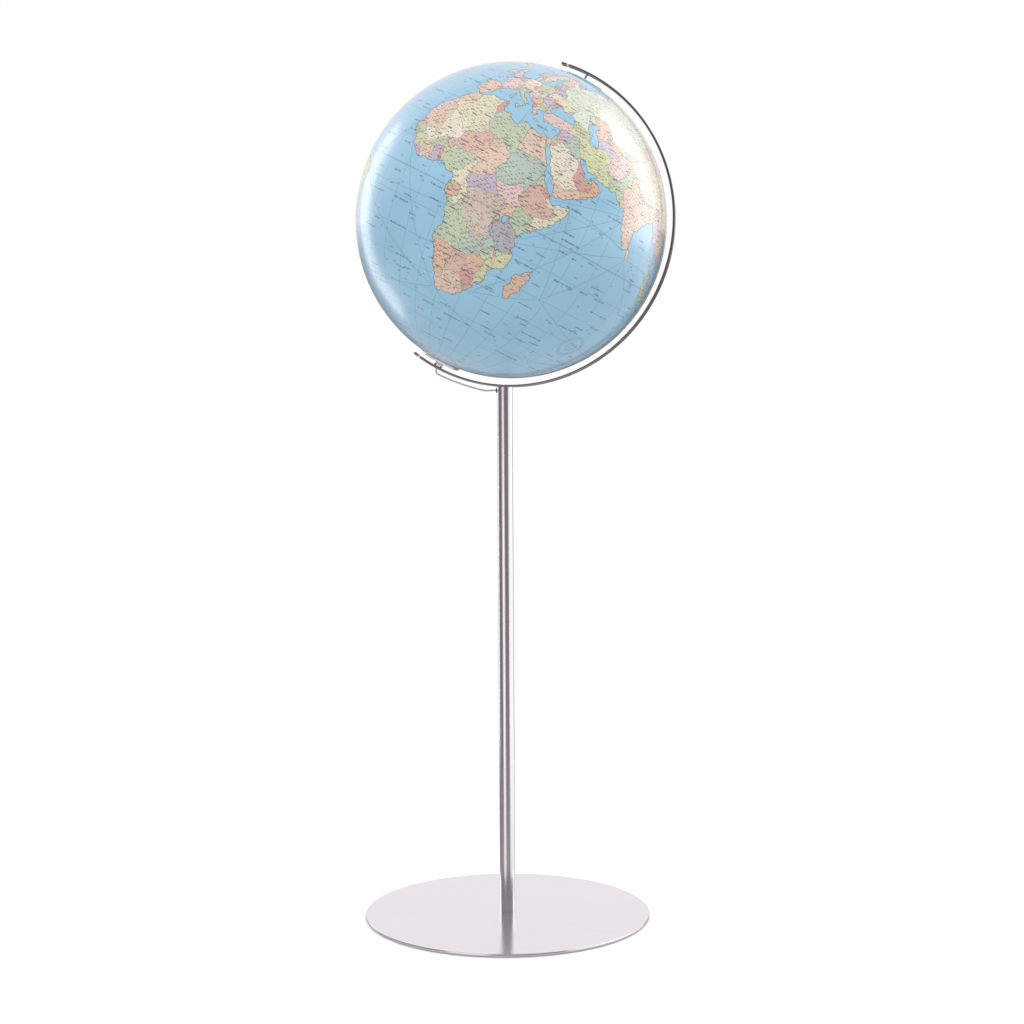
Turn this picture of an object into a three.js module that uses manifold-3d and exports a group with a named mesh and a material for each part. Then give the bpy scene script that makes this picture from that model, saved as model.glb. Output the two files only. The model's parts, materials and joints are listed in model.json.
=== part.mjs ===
// Floor-standing illuminated globe: a round base plate, a slim column, a C-shaped meridian band
// and a two-shell ball that turns on a tilted polar axis around a lamp.
// Millimetres, +Z up. The origin is on the column's axis at the floor, and the meridian lies in XZ.
import * as THREE from "three";
import { mergeVertices } from "three/addons/utils/BufferGeometryUtils.js";
import Module from "manifold-3d";

const wasm = await Module();
wasm.setup();

// ---------------------------------------------------------------- driving dimensions
const GAP = 0.3; // clearance kept between neighbouring solids

const BALL_RADIUS = 200;
const SHELL_WALL = 3;
const BALL_CENTRE_X = 10;
const BALL_CENTRE_Z = 900;
const POLE_TILT = THREE.MathUtils.degToRad(28.5);

const BAND_OUTER_RADIUS = 211.5;
const BAND_THICKNESS = 3;
const BAND_WIDTH = 10;
const BAND_OVERHANG = THREE.MathUtils.degToRad(9.8); // how far each end runs past the polar axis
const TIP_LENGTH = 6.7;
const COLLAR_LENGTH = 3.5;

const COLUMN_RADIUS = 10;
const COLUMN_WALL = 2;
const BASE_RADIUS = 185;
const BASE_THICKNESS = 3;
const UNDERLAY_RADIUS = 178;
const UNDERLAY_THICKNESS = 1.6;

const LEAD_RADIUS = 1.1;
const LEAD_HOLE_Z = 684.5;
const LEAD_CHANNEL_X = -5.3; // where the lead runs down beside the top plug's screw
const INLET_Z = 45;

const LAMP_TUBE_RADIUS = 5;
const LAMP_TUBE_BORE = 3.2;
const OPENING_RADIUS = 24; // lamp opening at the ball's south pole
const FLANGE_RADIUS = 27.5;
const CAP_RADIUS = 27;

// ---------------------------------------------------------------- worked-out sizes
const BALL_CENTRE = new THREE.Vector3(BALL_CENTRE_X, 0, BALL_CENTRE_Z);
const BAND_INNER_RADIUS = BAND_OUTER_RADIUS - BAND_THICKNESS;
const PLATE_BOTTOM = UNDERLAY_THICKNESS + 0.1;
const PLATE_TOP = PLATE_BOTTOM + BASE_THICKNESS;
const COLUMN_BOTTOM = PLATE_TOP + 0.1;
const COLUMN_BORE = COLUMN_RADIUS - COLUMN_WALL;
const BAND_LOW_Z = BALL_CENTRE_Z - BAND_OUTER_RADIUS;
const NORTH_ANGLE = Math.PI / 2 - POLE_TILT; // polar axis in the meridian plane, from +X
const NORTH_END = NORTH_ANGLE + BAND_OVERHANG;
const SOUTH_END = NORTH_ANGLE - Math.PI - BAND_OVERHANG;
const BAND_MEAN_RADIUS = BAND_OUTER_RADIUS - BAND_THICKNESS / 2;
const TIP_ANGLE = TIP_LENGTH / BAND_MEAN_RADIUS;
const COLLAR_ANGLE = COLLAR_LENGTH / BAND_MEAN_RADIUS;
const JOINT_ANGLE = 0.15 / BAND_MEAN_RADIUS; // slit between band, collar and tip

// ---------------------------------------------------------------- materials
function finish(color, roughness, metalness) {
  return new THREE.MeshStandardMaterial({ color, roughness, metalness });
}

const MATERIALS = {
  brushedSteel: finish(0xc9c4c6, 0.34, 1),
  polishedSteel: finish(0xe6e4e5, 0.08, 1),
  underlay: finish(0x2b2a2a, 0.95, 0),
  northPrint: finish(0xa9cade, 0.2, 0),
  southPrint: finish(0x8fbfd6, 0.2, 0),
  capPrint: finish(0xb8d7ea, 0.3, 0),
  clearPlastic: finish(0xe9eef0, 0.3, 0),
  blackPlastic: finish(0x1c1b1c, 0.5, 0),
  whitePlastic: finish(0xeeeeea, 0.45, 0),
  lead: finish(0xbcb8b6, 0.55, 0),
  zincSteel: finish(0xb2b1ae, 0.4, 1),
};

// ---------------------------------------------------------------- mesh helpers
// Merges shared corners and drops the collapsed triangles that a lathe leaves at its poles.
function weld(geometry) {
  const bare = geometry.clone();
  bare.deleteAttribute("normal");
  bare.deleteAttribute("uv");
  const merged = mergeVertices(bare, 1e-4);
  const kept = [];
  const index = merged.index.array;
  for (let i = 0; i < index.length; i += 3) {
    const [a, b, c] = [index[i], index[i + 1], index[i + 2]];
    if (a !== b && b !== c && c !== a) {
      kept.push(a, b, c);
    }
  }
  merged.setIndex(kept);
  return merged;
}

function toSolid(geometry) {
  const welded = weld(geometry);
  return new wasm.Manifold(new wasm.Mesh({
    numProp: 3,
    vertProperties: new Float32Array(welded.attributes.position.array),
    triVerts: new Uint32Array(welded.index.array),
  }));
}

function fromSolid(solid) {
  const mesh = solid.getMesh();
  const geometry = new THREE.BufferGeometry();
  geometry.setAttribute("position", new THREE.BufferAttribute(new Float32Array(mesh.vertProperties), 3));
  geometry.setIndex(new THREE.BufferAttribute(new Uint32Array(mesh.triVerts), 1));
  return geometry;
}

function cut(geometry, ...tools) {
  let solid = toSolid(geometry);
  for (const tool of tools) {
    solid = solid.subtract(toSolid(tool));
  }
  return fromSolid(solid);
}

// A turned piece about +Z. The profile lists [radius, height] anticlockwise; one that stays off
// the axis is closed here.
function turned(profile, segments = 32) {
  const points = profile.map(([radius, height]) => new THREE.Vector2(radius, height));
  const onAxis = profile[0][0] === 0 && profile[profile.length - 1][0] === 0;
  if (!onAxis) {
    points.push(points[0].clone());
  }
  return weld(new THREE.LatheGeometry(points, segments).rotateX(Math.PI / 2));
}

function rod(radius, bottom, top, segments = 24) {
  return turned([[0, bottom], [radius, bottom], [radius, top], [0, top]], segments);
}

function tube(outer, inner, bottom, top, segments = 32) {
  return turned([[inner, bottom], [outer, bottom], [outer, top], [inner, top]], segments);
}

// A hexagonal socket or nut body, standing along +Z.
function hexagon(acrossFlats, bottom, top) {
  return rod(acrossFlats / Math.sqrt(3), bottom, top, 6);
}

// Points of a circular arc in a turned profile, as [radius, height].
function profileArc(radius, fromAngle, toAngle, steps) {
  const points = [];
  for (let i = 0; i <= steps; i += 1) {
    const angle = fromAngle + ((toAngle - fromAngle) * i) / steps;
    points.push([radius * Math.cos(angle), radius * Math.sin(angle)]);
  }
  return points;
}

// ---------------------------------------------------------------- scene graph
const globe = new THREE.Group();
const ballFrame = new THREE.Group(); // origin at the ball's centre, +Z along the polar axis
ballFrame.position.copy(BALL_CENTRE);
ballFrame.rotation.y = POLE_TILT;
globe.add(ballFrame);

function place(parent, name, geometry, material) {
  const mesh = new THREE.Mesh(geometry, material);
  mesh.name = name;
  parent.add(mesh);
}

// ---------------------------------------------------------------- base
const SCREW_HEAD_RADIUS = 8;
const SCREW_HEAD_HEIGHT = 2.3;
const SCREW_RADIUS = 3.9;
const FOOT_PLUG_TOP = COLUMN_BOTTOM + 22;

function basePlate() {
  const bevel = 0.4;
  const holeRadius = SCREW_RADIUS + GAP;
  return turned([
    [SCREW_HEAD_RADIUS + GAP, PLATE_BOTTOM],
    [BASE_RADIUS - bevel, PLATE_BOTTOM],
    [BASE_RADIUS, PLATE_BOTTOM + bevel],
    [BASE_RADIUS, PLATE_TOP - bevel],
    [BASE_RADIUS - bevel, PLATE_TOP],
    [holeRadius, PLATE_TOP],
    [holeRadius, PLATE_BOTTOM + SCREW_HEAD_HEIGHT + GAP],
    [SCREW_HEAD_RADIUS + GAP, PLATE_BOTTOM + GAP],
  ], 72);
}

function baseScrew() {
  const headBottom = PLATE_BOTTOM + 0.1;
  const body = turned([
    [0, headBottom],
    [SCREW_HEAD_RADIUS, headBottom],
    [SCREW_RADIUS, headBottom + SCREW_HEAD_HEIGHT],
    [SCREW_RADIUS, COLUMN_BOTTOM + 18],
    [0, COLUMN_BOTTOM + 18],
  ], 24);
  return cut(body, hexagon(5, headBottom - 1, headBottom + 1.8));
}

function footPlug() {
  const outer = COLUMN_BORE - GAP;
  return tube(outer, SCREW_RADIUS + GAP, COLUMN_BOTTOM, FOOT_PLUG_TOP, 32);
}

place(globe, "base_underlay", rod(UNDERLAY_RADIUS, 0, UNDERLAY_THICKNESS, 72), MATERIALS.underlay);
place(globe, "base_plate", basePlate(), MATERIALS.brushedSteel);
place(globe, "base_screw", baseScrew(), MATERIALS.zincSteel);
place(globe, "column_foot_plug", footPlug(), MATERIALS.zincSteel);

// ---------------------------------------------------------------- column
const GROMMET_RADIUS = 2.6;
const INLET_RADIUS = 4;
const TOP_PLUG_HEIGHT = 24;
const TOP_SCREW_RADIUS = 2.4;
const TOP_SCREW_LENGTH = 16;

// The meridian's outer face, grown by the clearance: it shapes the saddle on the column's top.
function saddleTool() {
  const radius = BAND_OUTER_RADIUS + 0.1;
  const tool = rod(radius, -2 * COLUMN_RADIUS, 2 * COLUMN_RADIUS, 360);
  return tool.rotateX(Math.PI / 2).translate(BALL_CENTRE_X, 0, BALL_CENTRE_Z);
}

function sidewaysRod(radius, from, to, z, segments = 16) {
  return rod(radius, from, to, segments).rotateY(Math.PI / 2).translate(0, 0, z);
}

function backwardRod(radius, from, to, z, segments = 20) {
  return rod(radius, from, to, segments).rotateX(-Math.PI / 2).translate(0, 0, z);
}

function columnTube() {
  const blank = tube(COLUMN_RADIUS, COLUMN_BORE, COLUMN_BOTTOM, BAND_LOW_Z + 3, 36);
  return cut(
    blank,
    saddleTool(),
    sidewaysRod(GROMMET_RADIUS + 0.2, -2 * COLUMN_RADIUS, -2, LEAD_HOLE_Z),
    backwardRod(INLET_RADIUS + 0.2, 2, 2 * COLUMN_RADIUS, INLET_Z),
  );
}

function topPlug() {
  const blank = rod(COLUMN_BORE - GAP, BAND_LOW_Z - TOP_PLUG_HEIGHT, BAND_LOW_Z + 3, 32);
  const channelDepth = COLUMN_BORE + LEAD_CHANNEL_X + LEAD_RADIUS + 0.4;
  const channelTop = LEAD_HOLE_Z + GROMMET_RADIUS + 0.6;
  const channelBottom = BAND_LOW_Z - TOP_PLUG_HEIGHT - 1;
  const channel = new THREE.BoxGeometry(channelDepth, 6, channelTop - channelBottom);
  channel.translate(-COLUMN_BORE + channelDepth / 2, 0, (channelTop + channelBottom) / 2);
  const thread = rod(TOP_SCREW_RADIUS + 0.2, BAND_LOW_Z - TOP_SCREW_LENGTH - 2, BAND_LOW_Z + 9, 20);
  return cut(blank, saddleTool(), channel, thread);
}

function leadGrommet() {
  const bore = LEAD_RADIUS + 0.7;
  const lip = COLUMN_RADIUS + 0.9;
  const profile = [
    [bore, -lip],
    [GROMMET_RADIUS + 1, -lip],
    [GROMMET_RADIUS + 1, -(COLUMN_RADIUS + 0.1)],
    [GROMMET_RADIUS, -(COLUMN_RADIUS + 0.1)],
    [GROMMET_RADIUS, -(COLUMN_BORE + 0.1)],
    [bore, -(COLUMN_BORE + 0.1)],
  ];
  return turned(profile, 20).rotateY(Math.PI / 2).translate(0, 0, LEAD_HOLE_Z);
}

function powerInlet() {
  const face = COLUMN_RADIUS + 1.3;
  const socketRadius = 2.9;
  const socketFloor = 3;
  const pinRadius = 1;
  return turned([
    [0, -1.5],
    [INLET_RADIUS - 0.6, -1.5],
    [INLET_RADIUS - 0.6, 4],
    [INLET_RADIUS, 4],
    [INLET_RADIUS, COLUMN_RADIUS + 0.1],
    [INLET_RADIUS + 1.5, COLUMN_RADIUS + 0.1],
    [INLET_RADIUS + 1.5, face - 0.3],
    [INLET_RADIUS + 1.2, face],
    [socketRadius, face],
    [socketRadius, socketFloor],
    [pinRadius, socketFloor],
    [pinRadius, face - 1.5],
    [0, face - 1.5],
  ], 20).rotateX(-Math.PI / 2).translate(0, 0, INLET_Z);
}

place(globe, "column_tube", columnTube(), MATERIALS.brushedSteel);
place(globe, "column_top_plug", topPlug(), MATERIALS.zincSteel);
place(globe, "lead_grommet", leadGrommet(), MATERIALS.blackPlastic);
place(globe, "power_inlet", powerInlet(), MATERIALS.blackPlastic);

// ---------------------------------------------------------------- meridian
// A stretch of the band between two angles in the meridian plane; the far end can be rounded.
function bandStretch(fromAngle, toAngle, inset, steps, roundEnd = false) {
  const outer = BAND_OUTER_RADIUS - inset;
  const inner = BAND_INNER_RADIUS + inset;
  const shape = new THREE.Shape();
  const at = (radius, angle) => [radius * Math.cos(angle), radius * Math.sin(angle)];
  shape.moveTo(...at(outer, fromAngle));
  for (let i = 1; i <= steps; i += 1) {
    shape.lineTo(...at(outer, fromAngle + ((toAngle - fromAngle) * i) / steps));
  }
  if (roundEnd) {
    const mean = (outer + inner) / 2;
    const half = (outer - inner) / 2;
    const reach = Math.sign(toAngle - fromAngle) * (half * 0.9 / mean);
    for (const turn of [0.25, 0.5, 0.75]) {
      const radius = mean + half * Math.cos(turn * Math.PI);
      shape.lineTo(...at(radius, toAngle + reach * Math.sin(turn * Math.PI)));
    }
  }
  for (let i = steps; i >= 0; i -= 1) {
    shape.lineTo(...at(inner, fromAngle + ((toAngle - fromAngle) * i) / steps));
  }
  const width = BAND_WIDTH - 2 * inset;
  const geometry = new THREE.ExtrudeGeometry(shape, { depth: width, bevelEnabled: false, curveSegments: 1 });
  return geometry.translate(0, 0, -width / 2).rotateX(Math.PI / 2).translate(BALL_CENTRE_X, 0, BALL_CENTRE_Z);
}

// A hole through the band on the polar axis; side is 1 for north and -1 for south.
function axisHole(radius, side) {
  const near = BAND_INNER_RADIUS - 10;
  const far = BAND_OUTER_RADIUS + 10;
  const hole = side > 0 ? rod(radius, near, far, 24) : rod(radius, -far, -near, 24);
  return hole.rotateY(POLE_TILT).translate(BALL_CENTRE_X, 0, BALL_CENTRE_Z);
}

const PIN_RADIUS = 1.5;
const SCREW_SEAT = BAND_LOW_Z + BAND_THICKNESS - 0.2; // top of the countersunk head, just under the inner face
const SCREW_FLARE = 2; // the 90-degree head grows by its own height
const ARC_FROM = SOUTH_END + TIP_ANGLE + COLLAR_ANGLE;
const ARC_TO = NORTH_END - TIP_ANGLE - COLLAR_ANGLE;

function meridianArc() {
  const blank = bandStretch(ARC_FROM, ARC_TO, 0, 88);
  const bore = TOP_SCREW_RADIUS + 0.2;
  const screwHole = turned([
    [0, BAND_LOW_Z - 5],
    [bore, BAND_LOW_Z - 5],
    [bore, SCREW_SEAT - SCREW_FLARE - 0.1],
    [bore + SCREW_FLARE + 0.1, SCREW_SEAT],
    [bore + SCREW_FLARE + 0.1, BAND_LOW_Z + 9],
    [0, BAND_LOW_Z + 9],
  ], 24);
  return cut(blank, axisHole(PIN_RADIUS + 0.2, 1), axisHole(LAMP_TUBE_RADIUS - 1.3, -1), screwHole);
}

function meridianScrew() {
  const end = BAND_LOW_Z - TOP_SCREW_LENGTH;
  const body = turned([
    [0, end],
    [TOP_SCREW_RADIUS, end],
    [TOP_SCREW_RADIUS, SCREW_SEAT - SCREW_FLARE],
    [TOP_SCREW_RADIUS + SCREW_FLARE, SCREW_SEAT],
    [0, SCREW_SEAT],
  ], 24);
  return cut(body, hexagon(3, SCREW_SEAT - 1.5, SCREW_SEAT + 1));
}

place(globe, "meridian_arc", meridianArc(), MATERIALS.brushedSteel);
place(globe, "meridian_screw", meridianScrew(), MATERIALS.zincSteel);

const ENDS = [
  { side: "north", end: NORTH_END, inward: -1 },
  { side: "south", end: SOUTH_END, inward: 1 },
];
for (const { side, end, inward } of ENDS) {
  const tipStart = end + inward * TIP_ANGLE;
  const collarStart = tipStart + inward * COLLAR_ANGLE;
  const collar = bandStretch(collarStart - inward * JOINT_ANGLE, tipStart + inward * JOINT_ANGLE, 0.3, 3);
  const roundedEnd = end + inward * (BAND_THICKNESS * 0.45 / BAND_MEAN_RADIUS);
  const tip = bandStretch(tipStart, roundedEnd, 0, 4, true);
  place(globe, `${side}_end_collar`, collar, MATERIALS.polishedSteel);
  place(globe, `${side}_end_tip`, tip, MATERIALS.brushedSteel);
}

// ---------------------------------------------------------------- polar pivots on the meridian
const SHELL_INNER = BALL_RADIUS - SHELL_WALL;
const BUSH_RADIUS = 6;
const FLANGE_PLANE = -(BALL_RADIUS + 0.3);
const FLANGE_WALL = 1.2;
const SLEEVE_RADIUS = LAMP_TUBE_RADIUS + 1.6;

place(ballFrame, "north_pivot_pin", turned([
  [0, SHELL_INNER - 12],
  [PIN_RADIUS - 0.4, SHELL_INNER - 12],
  [PIN_RADIUS, SHELL_INNER - 11.5],
  [PIN_RADIUS, BAND_OUTER_RADIUS + 0.1],
  [0, BAND_OUTER_RADIUS + 0.1],
], 20), MATERIALS.zincSteel);

// The turned bush that stands between the band and the ball, and the tube through it.
function southBush() {
  const outerEnd = -(BAND_INNER_RADIUS - 0.5);
  const bore = LAMP_TUBE_RADIUS + 0.2;
  return turned([
    [bore, outerEnd],
    [BUSH_RADIUS, outerEnd],
    [BUSH_RADIUS, outerEnd + 2.6],
    [BUSH_RADIUS - 0.5, outerEnd + 3],
    [BUSH_RADIUS, outerEnd + 3.4],
    [BUSH_RADIUS, FLANGE_PLANE - FLANGE_WALL - 1.4],
    [bore, FLANGE_PLANE - FLANGE_WALL - 1.4],
  ], 32);
}

function lampTube() {
  const shoulder = -(BAND_INNER_RADIUS - 0.4);
  const neck = LAMP_TUBE_RADIUS - 1.5;
  return turned([
    [neck - 0.9, -(BAND_OUTER_RADIUS + 0.2)],
    [neck, -(BAND_OUTER_RADIUS + 0.2)],
    [neck, shoulder],
    [LAMP_TUBE_RADIUS, shoulder],
    [LAMP_TUBE_RADIUS, -140],
    [LAMP_TUBE_BORE, -140],
    [LAMP_TUBE_BORE, -204],
    [neck - 0.9, -205],
  ], 24);
}

place(ballFrame, "south_bush", southBush(), MATERIALS.polishedSteel);
place(ballFrame, "lamp_tube", lampTube(), MATERIALS.zincSteel);

// ---------------------------------------------------------------- lamp
const HOLDER_RADIUS = 14;
const HOLDER_BOTTOM = -150;
const HOLDER_TOP = -100;
const LAMP_CAP_RADIUS = 7;

function lampHolder() {
  const rim = HOLDER_RADIUS - 3;
  return turned([
    [LAMP_TUBE_RADIUS + GAP, HOLDER_BOTTOM],
    [10.5, HOLDER_BOTTOM],
    [HOLDER_RADIUS, HOLDER_BOTTOM + 6],
    [HOLDER_RADIUS, HOLDER_TOP],
    [rim, HOLDER_TOP],
    [rim, HOLDER_BOTTOM + 14],
    [LAMP_TUBE_RADIUS + GAP, HOLDER_BOTTOM + 14],
  ], 28);
}

function lampBulb() {
  const bulbRadius = 22;
  const bulbCentre = -48;
  const neckAngle = -Math.PI / 2 + 0.5;
  const cap = HOLDER_BOTTOM + 16;
  const crown = profileArc(bulbRadius, neckAngle, Math.PI / 2, 7);
  const shifted = crown.map(([radius, height]) => [radius, height + bulbCentre]);
  shifted[shifted.length - 1][0] = 0;
  return turned([
    [0, cap],
    [LAMP_CAP_RADIUS, cap + 3],
    [LAMP_CAP_RADIUS, HOLDER_TOP + 2],
    ...shifted,
  ], 28);
}

place(ballFrame, "lamp_holder", lampHolder(), MATERIALS.whitePlastic);
place(ballFrame, "lamp_bulb", lampBulb(), MATERIALS.whitePlastic);

// ---------------------------------------------------------------- the ball
const CAP_HOLE_RADIUS = 3.2;
const BUSH_HOLE_RADIUS = 5.2;
const MERIDIANS = 48;
const EQUATOR_SLIT = 0.1 / BALL_RADIUS;

function northHemisphere() {
  const rimAngle = Math.acos(BUSH_HOLE_RADIUS / BALL_RADIUS);
  const innerRim = Math.acos(BUSH_HOLE_RADIUS / SHELL_INNER);
  return turned([
    ...profileArc(BALL_RADIUS, EQUATOR_SLIT, rimAngle, 10),
    ...profileArc(SHELL_INNER, innerRim, EQUATOR_SLIT, 6),
  ], MERIDIANS);
}

function southHemisphere() {
  const rimAngle = -Math.acos(OPENING_RADIUS / BALL_RADIUS);
  const innerRim = -Math.acos(OPENING_RADIUS / SHELL_INNER);
  return turned([
    ...profileArc(BALL_RADIUS, rimAngle, -EQUATOR_SLIT, 10),
    ...profileArc(SHELL_INNER, -EQUATOR_SLIT, innerRim, 6),
  ], MERIDIANS);
}

// An inner hoop that lines up the two shells at the equator.
function equatorHoop() {
  const outer = SHELL_INNER - 1.2;
  return tube(outer, outer - 1.6, -6, 6, 48);
}

// A thin disc that follows the ball around the north pivot.
function northPolarCap() {
  const inner = BALL_RADIUS + 0.3;
  const outer = inner + 1;
  return turned([
    ...profileArc(outer, Math.acos(CAP_RADIUS / outer), Math.acos(CAP_HOLE_RADIUS / outer), 3),
    ...profileArc(inner, Math.acos(CAP_HOLE_RADIUS / inner), Math.acos(CAP_RADIUS / inner), 3),
  ], 40);
}

function northBearing() {
  const bore = PIN_RADIUS + 0.25;
  const seat = SHELL_INNER - 1.1;
  return turned([
    [bore, seat - 8],
    [4.5, seat - 8],
    [4.5, seat - 2],
    [11, seat - 2],
    [11, seat],
    [4.7, seat],
    [4.7, BALL_RADIUS],
    [bore, BALL_RADIUS],
  ], 28);
}

function southFlange() {
  return turned([
    [SLEEVE_RADIUS + 0.2, FLANGE_PLANE - FLANGE_WALL],
    [FLANGE_RADIUS - 0.4, FLANGE_PLANE - FLANGE_WALL],
    [FLANGE_RADIUS, FLANGE_PLANE - FLANGE_WALL / 2],
    [FLANGE_RADIUS - 0.4, FLANGE_PLANE],
    [SLEEVE_RADIUS + 0.2, FLANGE_PLANE],
  ], 40);
}

// The plastic sleeve in the flange that runs on the lamp tube.
function southSleeve() {
  const bore = LAMP_TUBE_RADIUS + 0.25;
  const washer = FLANGE_PLANE - FLANGE_WALL - 0.9;
  return turned([
    [bore, washer],
    [BUSH_RADIUS + 2.6, washer],
    [BUSH_RADIUS + 2.6, washer + 0.6],
    [SLEEVE_RADIUS, washer + 0.6],
    [SLEEVE_RADIUS, FLANGE_PLANE + 9],
    [bore, FLANGE_PLANE + 9],
  ], 28);
}

// One of three spring hooks that rise from the flange and grip the rim of the opening.
function flangeClip() {
  const root = OPENING_RADIUS - 4.2;
  const shape = new THREE.Shape();
  shape.moveTo(root - 8, FLANGE_PLANE + 0.3);
  shape.lineTo(root + 1, FLANGE_PLANE + 0.3);
  shape.lineTo(root + 2, FLANGE_PLANE + 1.3);
  shape.lineTo(root + 2, FLANGE_PLANE + 7);
  shape.lineTo(root + 9, FLANGE_PLANE + 8.6);
  shape.lineTo(root + 9, FLANGE_PLANE + 9.6);
  shape.lineTo(root + 1, FLANGE_PLANE + 8.2);
  shape.lineTo(root + 1, FLANGE_PLANE + 1.3);
  shape.lineTo(root - 8, FLANGE_PLANE + 1.3);
  const geometry = new THREE.ExtrudeGeometry(shape, { depth: 8, bevelEnabled: false });
  return geometry.translate(0, 0, -4).rotateX(Math.PI / 2);
}

place(ballFrame, "north_hemisphere", northHemisphere(), MATERIALS.northPrint);
place(ballFrame, "south_hemisphere", southHemisphere(), MATERIALS.southPrint);
place(ballFrame, "equator_hoop", equatorHoop(), MATERIALS.clearPlastic);
place(ballFrame, "north_polar_cap", northPolarCap(), MATERIALS.capPrint);
place(ballFrame, "north_bearing", northBearing(), MATERIALS.whitePlastic);
place(ballFrame, "south_flange", southFlange(), MATERIALS.polishedSteel);
place(ballFrame, "south_sleeve", southSleeve(), MATERIALS.whitePlastic);
for (let i = 0; i < 3; i += 1) {
  place(
    ballFrame,
    `flange_clip_${i + 1}`,
    flangeClip().rotateZ((i * 2 * Math.PI) / 3),
    MATERIALS.zincSteel,
  );
}

// ---------------------------------------------------------------- the lamp's lead
// From the lamp holder down the tube, along under the band, into the column and down to the inlet.
// The curve is stepped by its control points, so that its bends are finer than its straights.
class LeadRoute extends THREE.CatmullRomCurve3 {
  getPointAt(share, target) {
    return this.getPoint(share, target);
  }

  getTangentAt(share, target) {
    return this.getTangent(share, target);
  }
}

// A point in the meridian plane, by its distance from the ball's centre and its angle in degrees
// from the south end of the polar axis towards the column.
function besideBand(radius, degrees) {
  const angle = NORTH_ANGLE - Math.PI + THREE.MathUtils.degToRad(degrees);
  return new THREE.Vector3(
    BALL_CENTRE_X + radius * Math.cos(angle),
    0,
    BALL_CENTRE_Z + radius * Math.sin(angle),
  );
}

function lampLead() {
  const route = new LeadRoute([
    besideBand(138, 0),
    besideBand(170, 0),
    besideBand(200, 0),
    besideBand(211, 0),
    besideBand(214.4, 0.15),
    besideBand(216.6, 0.75),
    besideBand(217.3, 1.8),
    besideBand(217.2, 3.5),
    besideBand(217.2, 7),
    besideBand(217.5, 11),
    besideBand(217.9, 15),
    besideBand(218.4, 19),
    new THREE.Vector3(-14, 0, LEAD_HOLE_Z + 0.2),
    new THREE.Vector3(-10, 0, LEAD_HOLE_Z),
    new THREE.Vector3(-7.6, 0, LEAD_HOLE_Z - 0.5),
    new THREE.Vector3(-5.8, 0, LEAD_HOLE_Z - 2),
    new THREE.Vector3(LEAD_CHANNEL_X, 0, LEAD_HOLE_Z - 4.5),
    new THREE.Vector3(LEAD_CHANNEL_X, 0, LEAD_HOLE_Z - 12),
    new THREE.Vector3(LEAD_CHANNEL_X, 0, LEAD_HOLE_Z - 24),
    new THREE.Vector3(-3.5, -1.5, 600),
    new THREE.Vector3(1.5, -2.5, 420),
    new THREE.Vector3(-1, -4.5, 220),
    new THREE.Vector3(0, -5.6, 80),
    new THREE.Vector3(0, -6, 56),
    new THREE.Vector3(0, -5.2, 50),
    new THREE.Vector3(0, -3.8, 46.6),
    new THREE.Vector3(0, -2, INLET_Z + 0.4),
  ]);
  const section = new THREE.Shape().absarc(0, 0, LEAD_RADIUS, 0, 2 * Math.PI, false);
  return weld(new THREE.ExtrudeGeometry(section, {
    steps: 78,
    bevelEnabled: false,
    curveSegments: 4,
    extrudePath: route,
  }));
}

place(globe, "lamp_lead", lampLead(), MATERIALS.lead);

export default globe;
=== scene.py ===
"""Floor-standing illuminated globe on a brushed steel stand.

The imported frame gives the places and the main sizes, and each class holds its own smaller sizes.
The ball's two printed shells, the steel column, base, meridian band and the small turned fittings
are built here as fine meshes.
"""

import heapq
import json
import logging
import math
from dataclasses import dataclass, field
from enum import Enum
from typing import Sequence

import bmesh
import bpy
import numpy as np
from mathutils import Matrix, Vector
from mathutils.geometry import delaunay_2d_cdt


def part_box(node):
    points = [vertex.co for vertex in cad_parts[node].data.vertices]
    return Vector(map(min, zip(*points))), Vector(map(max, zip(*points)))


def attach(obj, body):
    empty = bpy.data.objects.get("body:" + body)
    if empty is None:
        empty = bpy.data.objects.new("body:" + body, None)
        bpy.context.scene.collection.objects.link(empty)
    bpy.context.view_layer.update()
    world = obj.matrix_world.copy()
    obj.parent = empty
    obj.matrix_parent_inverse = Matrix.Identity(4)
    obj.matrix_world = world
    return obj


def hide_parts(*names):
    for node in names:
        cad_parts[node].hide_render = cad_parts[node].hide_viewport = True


LOG = logging.getLogger("floor_globe")
MM = 0.001
SEED = 417

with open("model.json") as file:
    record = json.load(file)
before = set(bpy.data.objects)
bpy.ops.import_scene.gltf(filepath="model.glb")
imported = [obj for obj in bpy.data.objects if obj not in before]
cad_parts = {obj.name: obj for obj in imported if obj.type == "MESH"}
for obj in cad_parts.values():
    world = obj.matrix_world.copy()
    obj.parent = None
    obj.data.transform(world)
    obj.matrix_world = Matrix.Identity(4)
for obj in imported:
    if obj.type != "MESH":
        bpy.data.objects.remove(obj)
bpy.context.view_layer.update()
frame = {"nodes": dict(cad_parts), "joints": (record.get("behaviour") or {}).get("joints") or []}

Point = tuple[float, float]
Line = list[Point]
Socket, Tree, Node = bpy.types.NodeSocket, bpy.types.NodeTree, bpy.types.Node
Material, Mesh, Piece = bpy.types.Material, bpy.types.Mesh, bpy.types.Object


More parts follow.
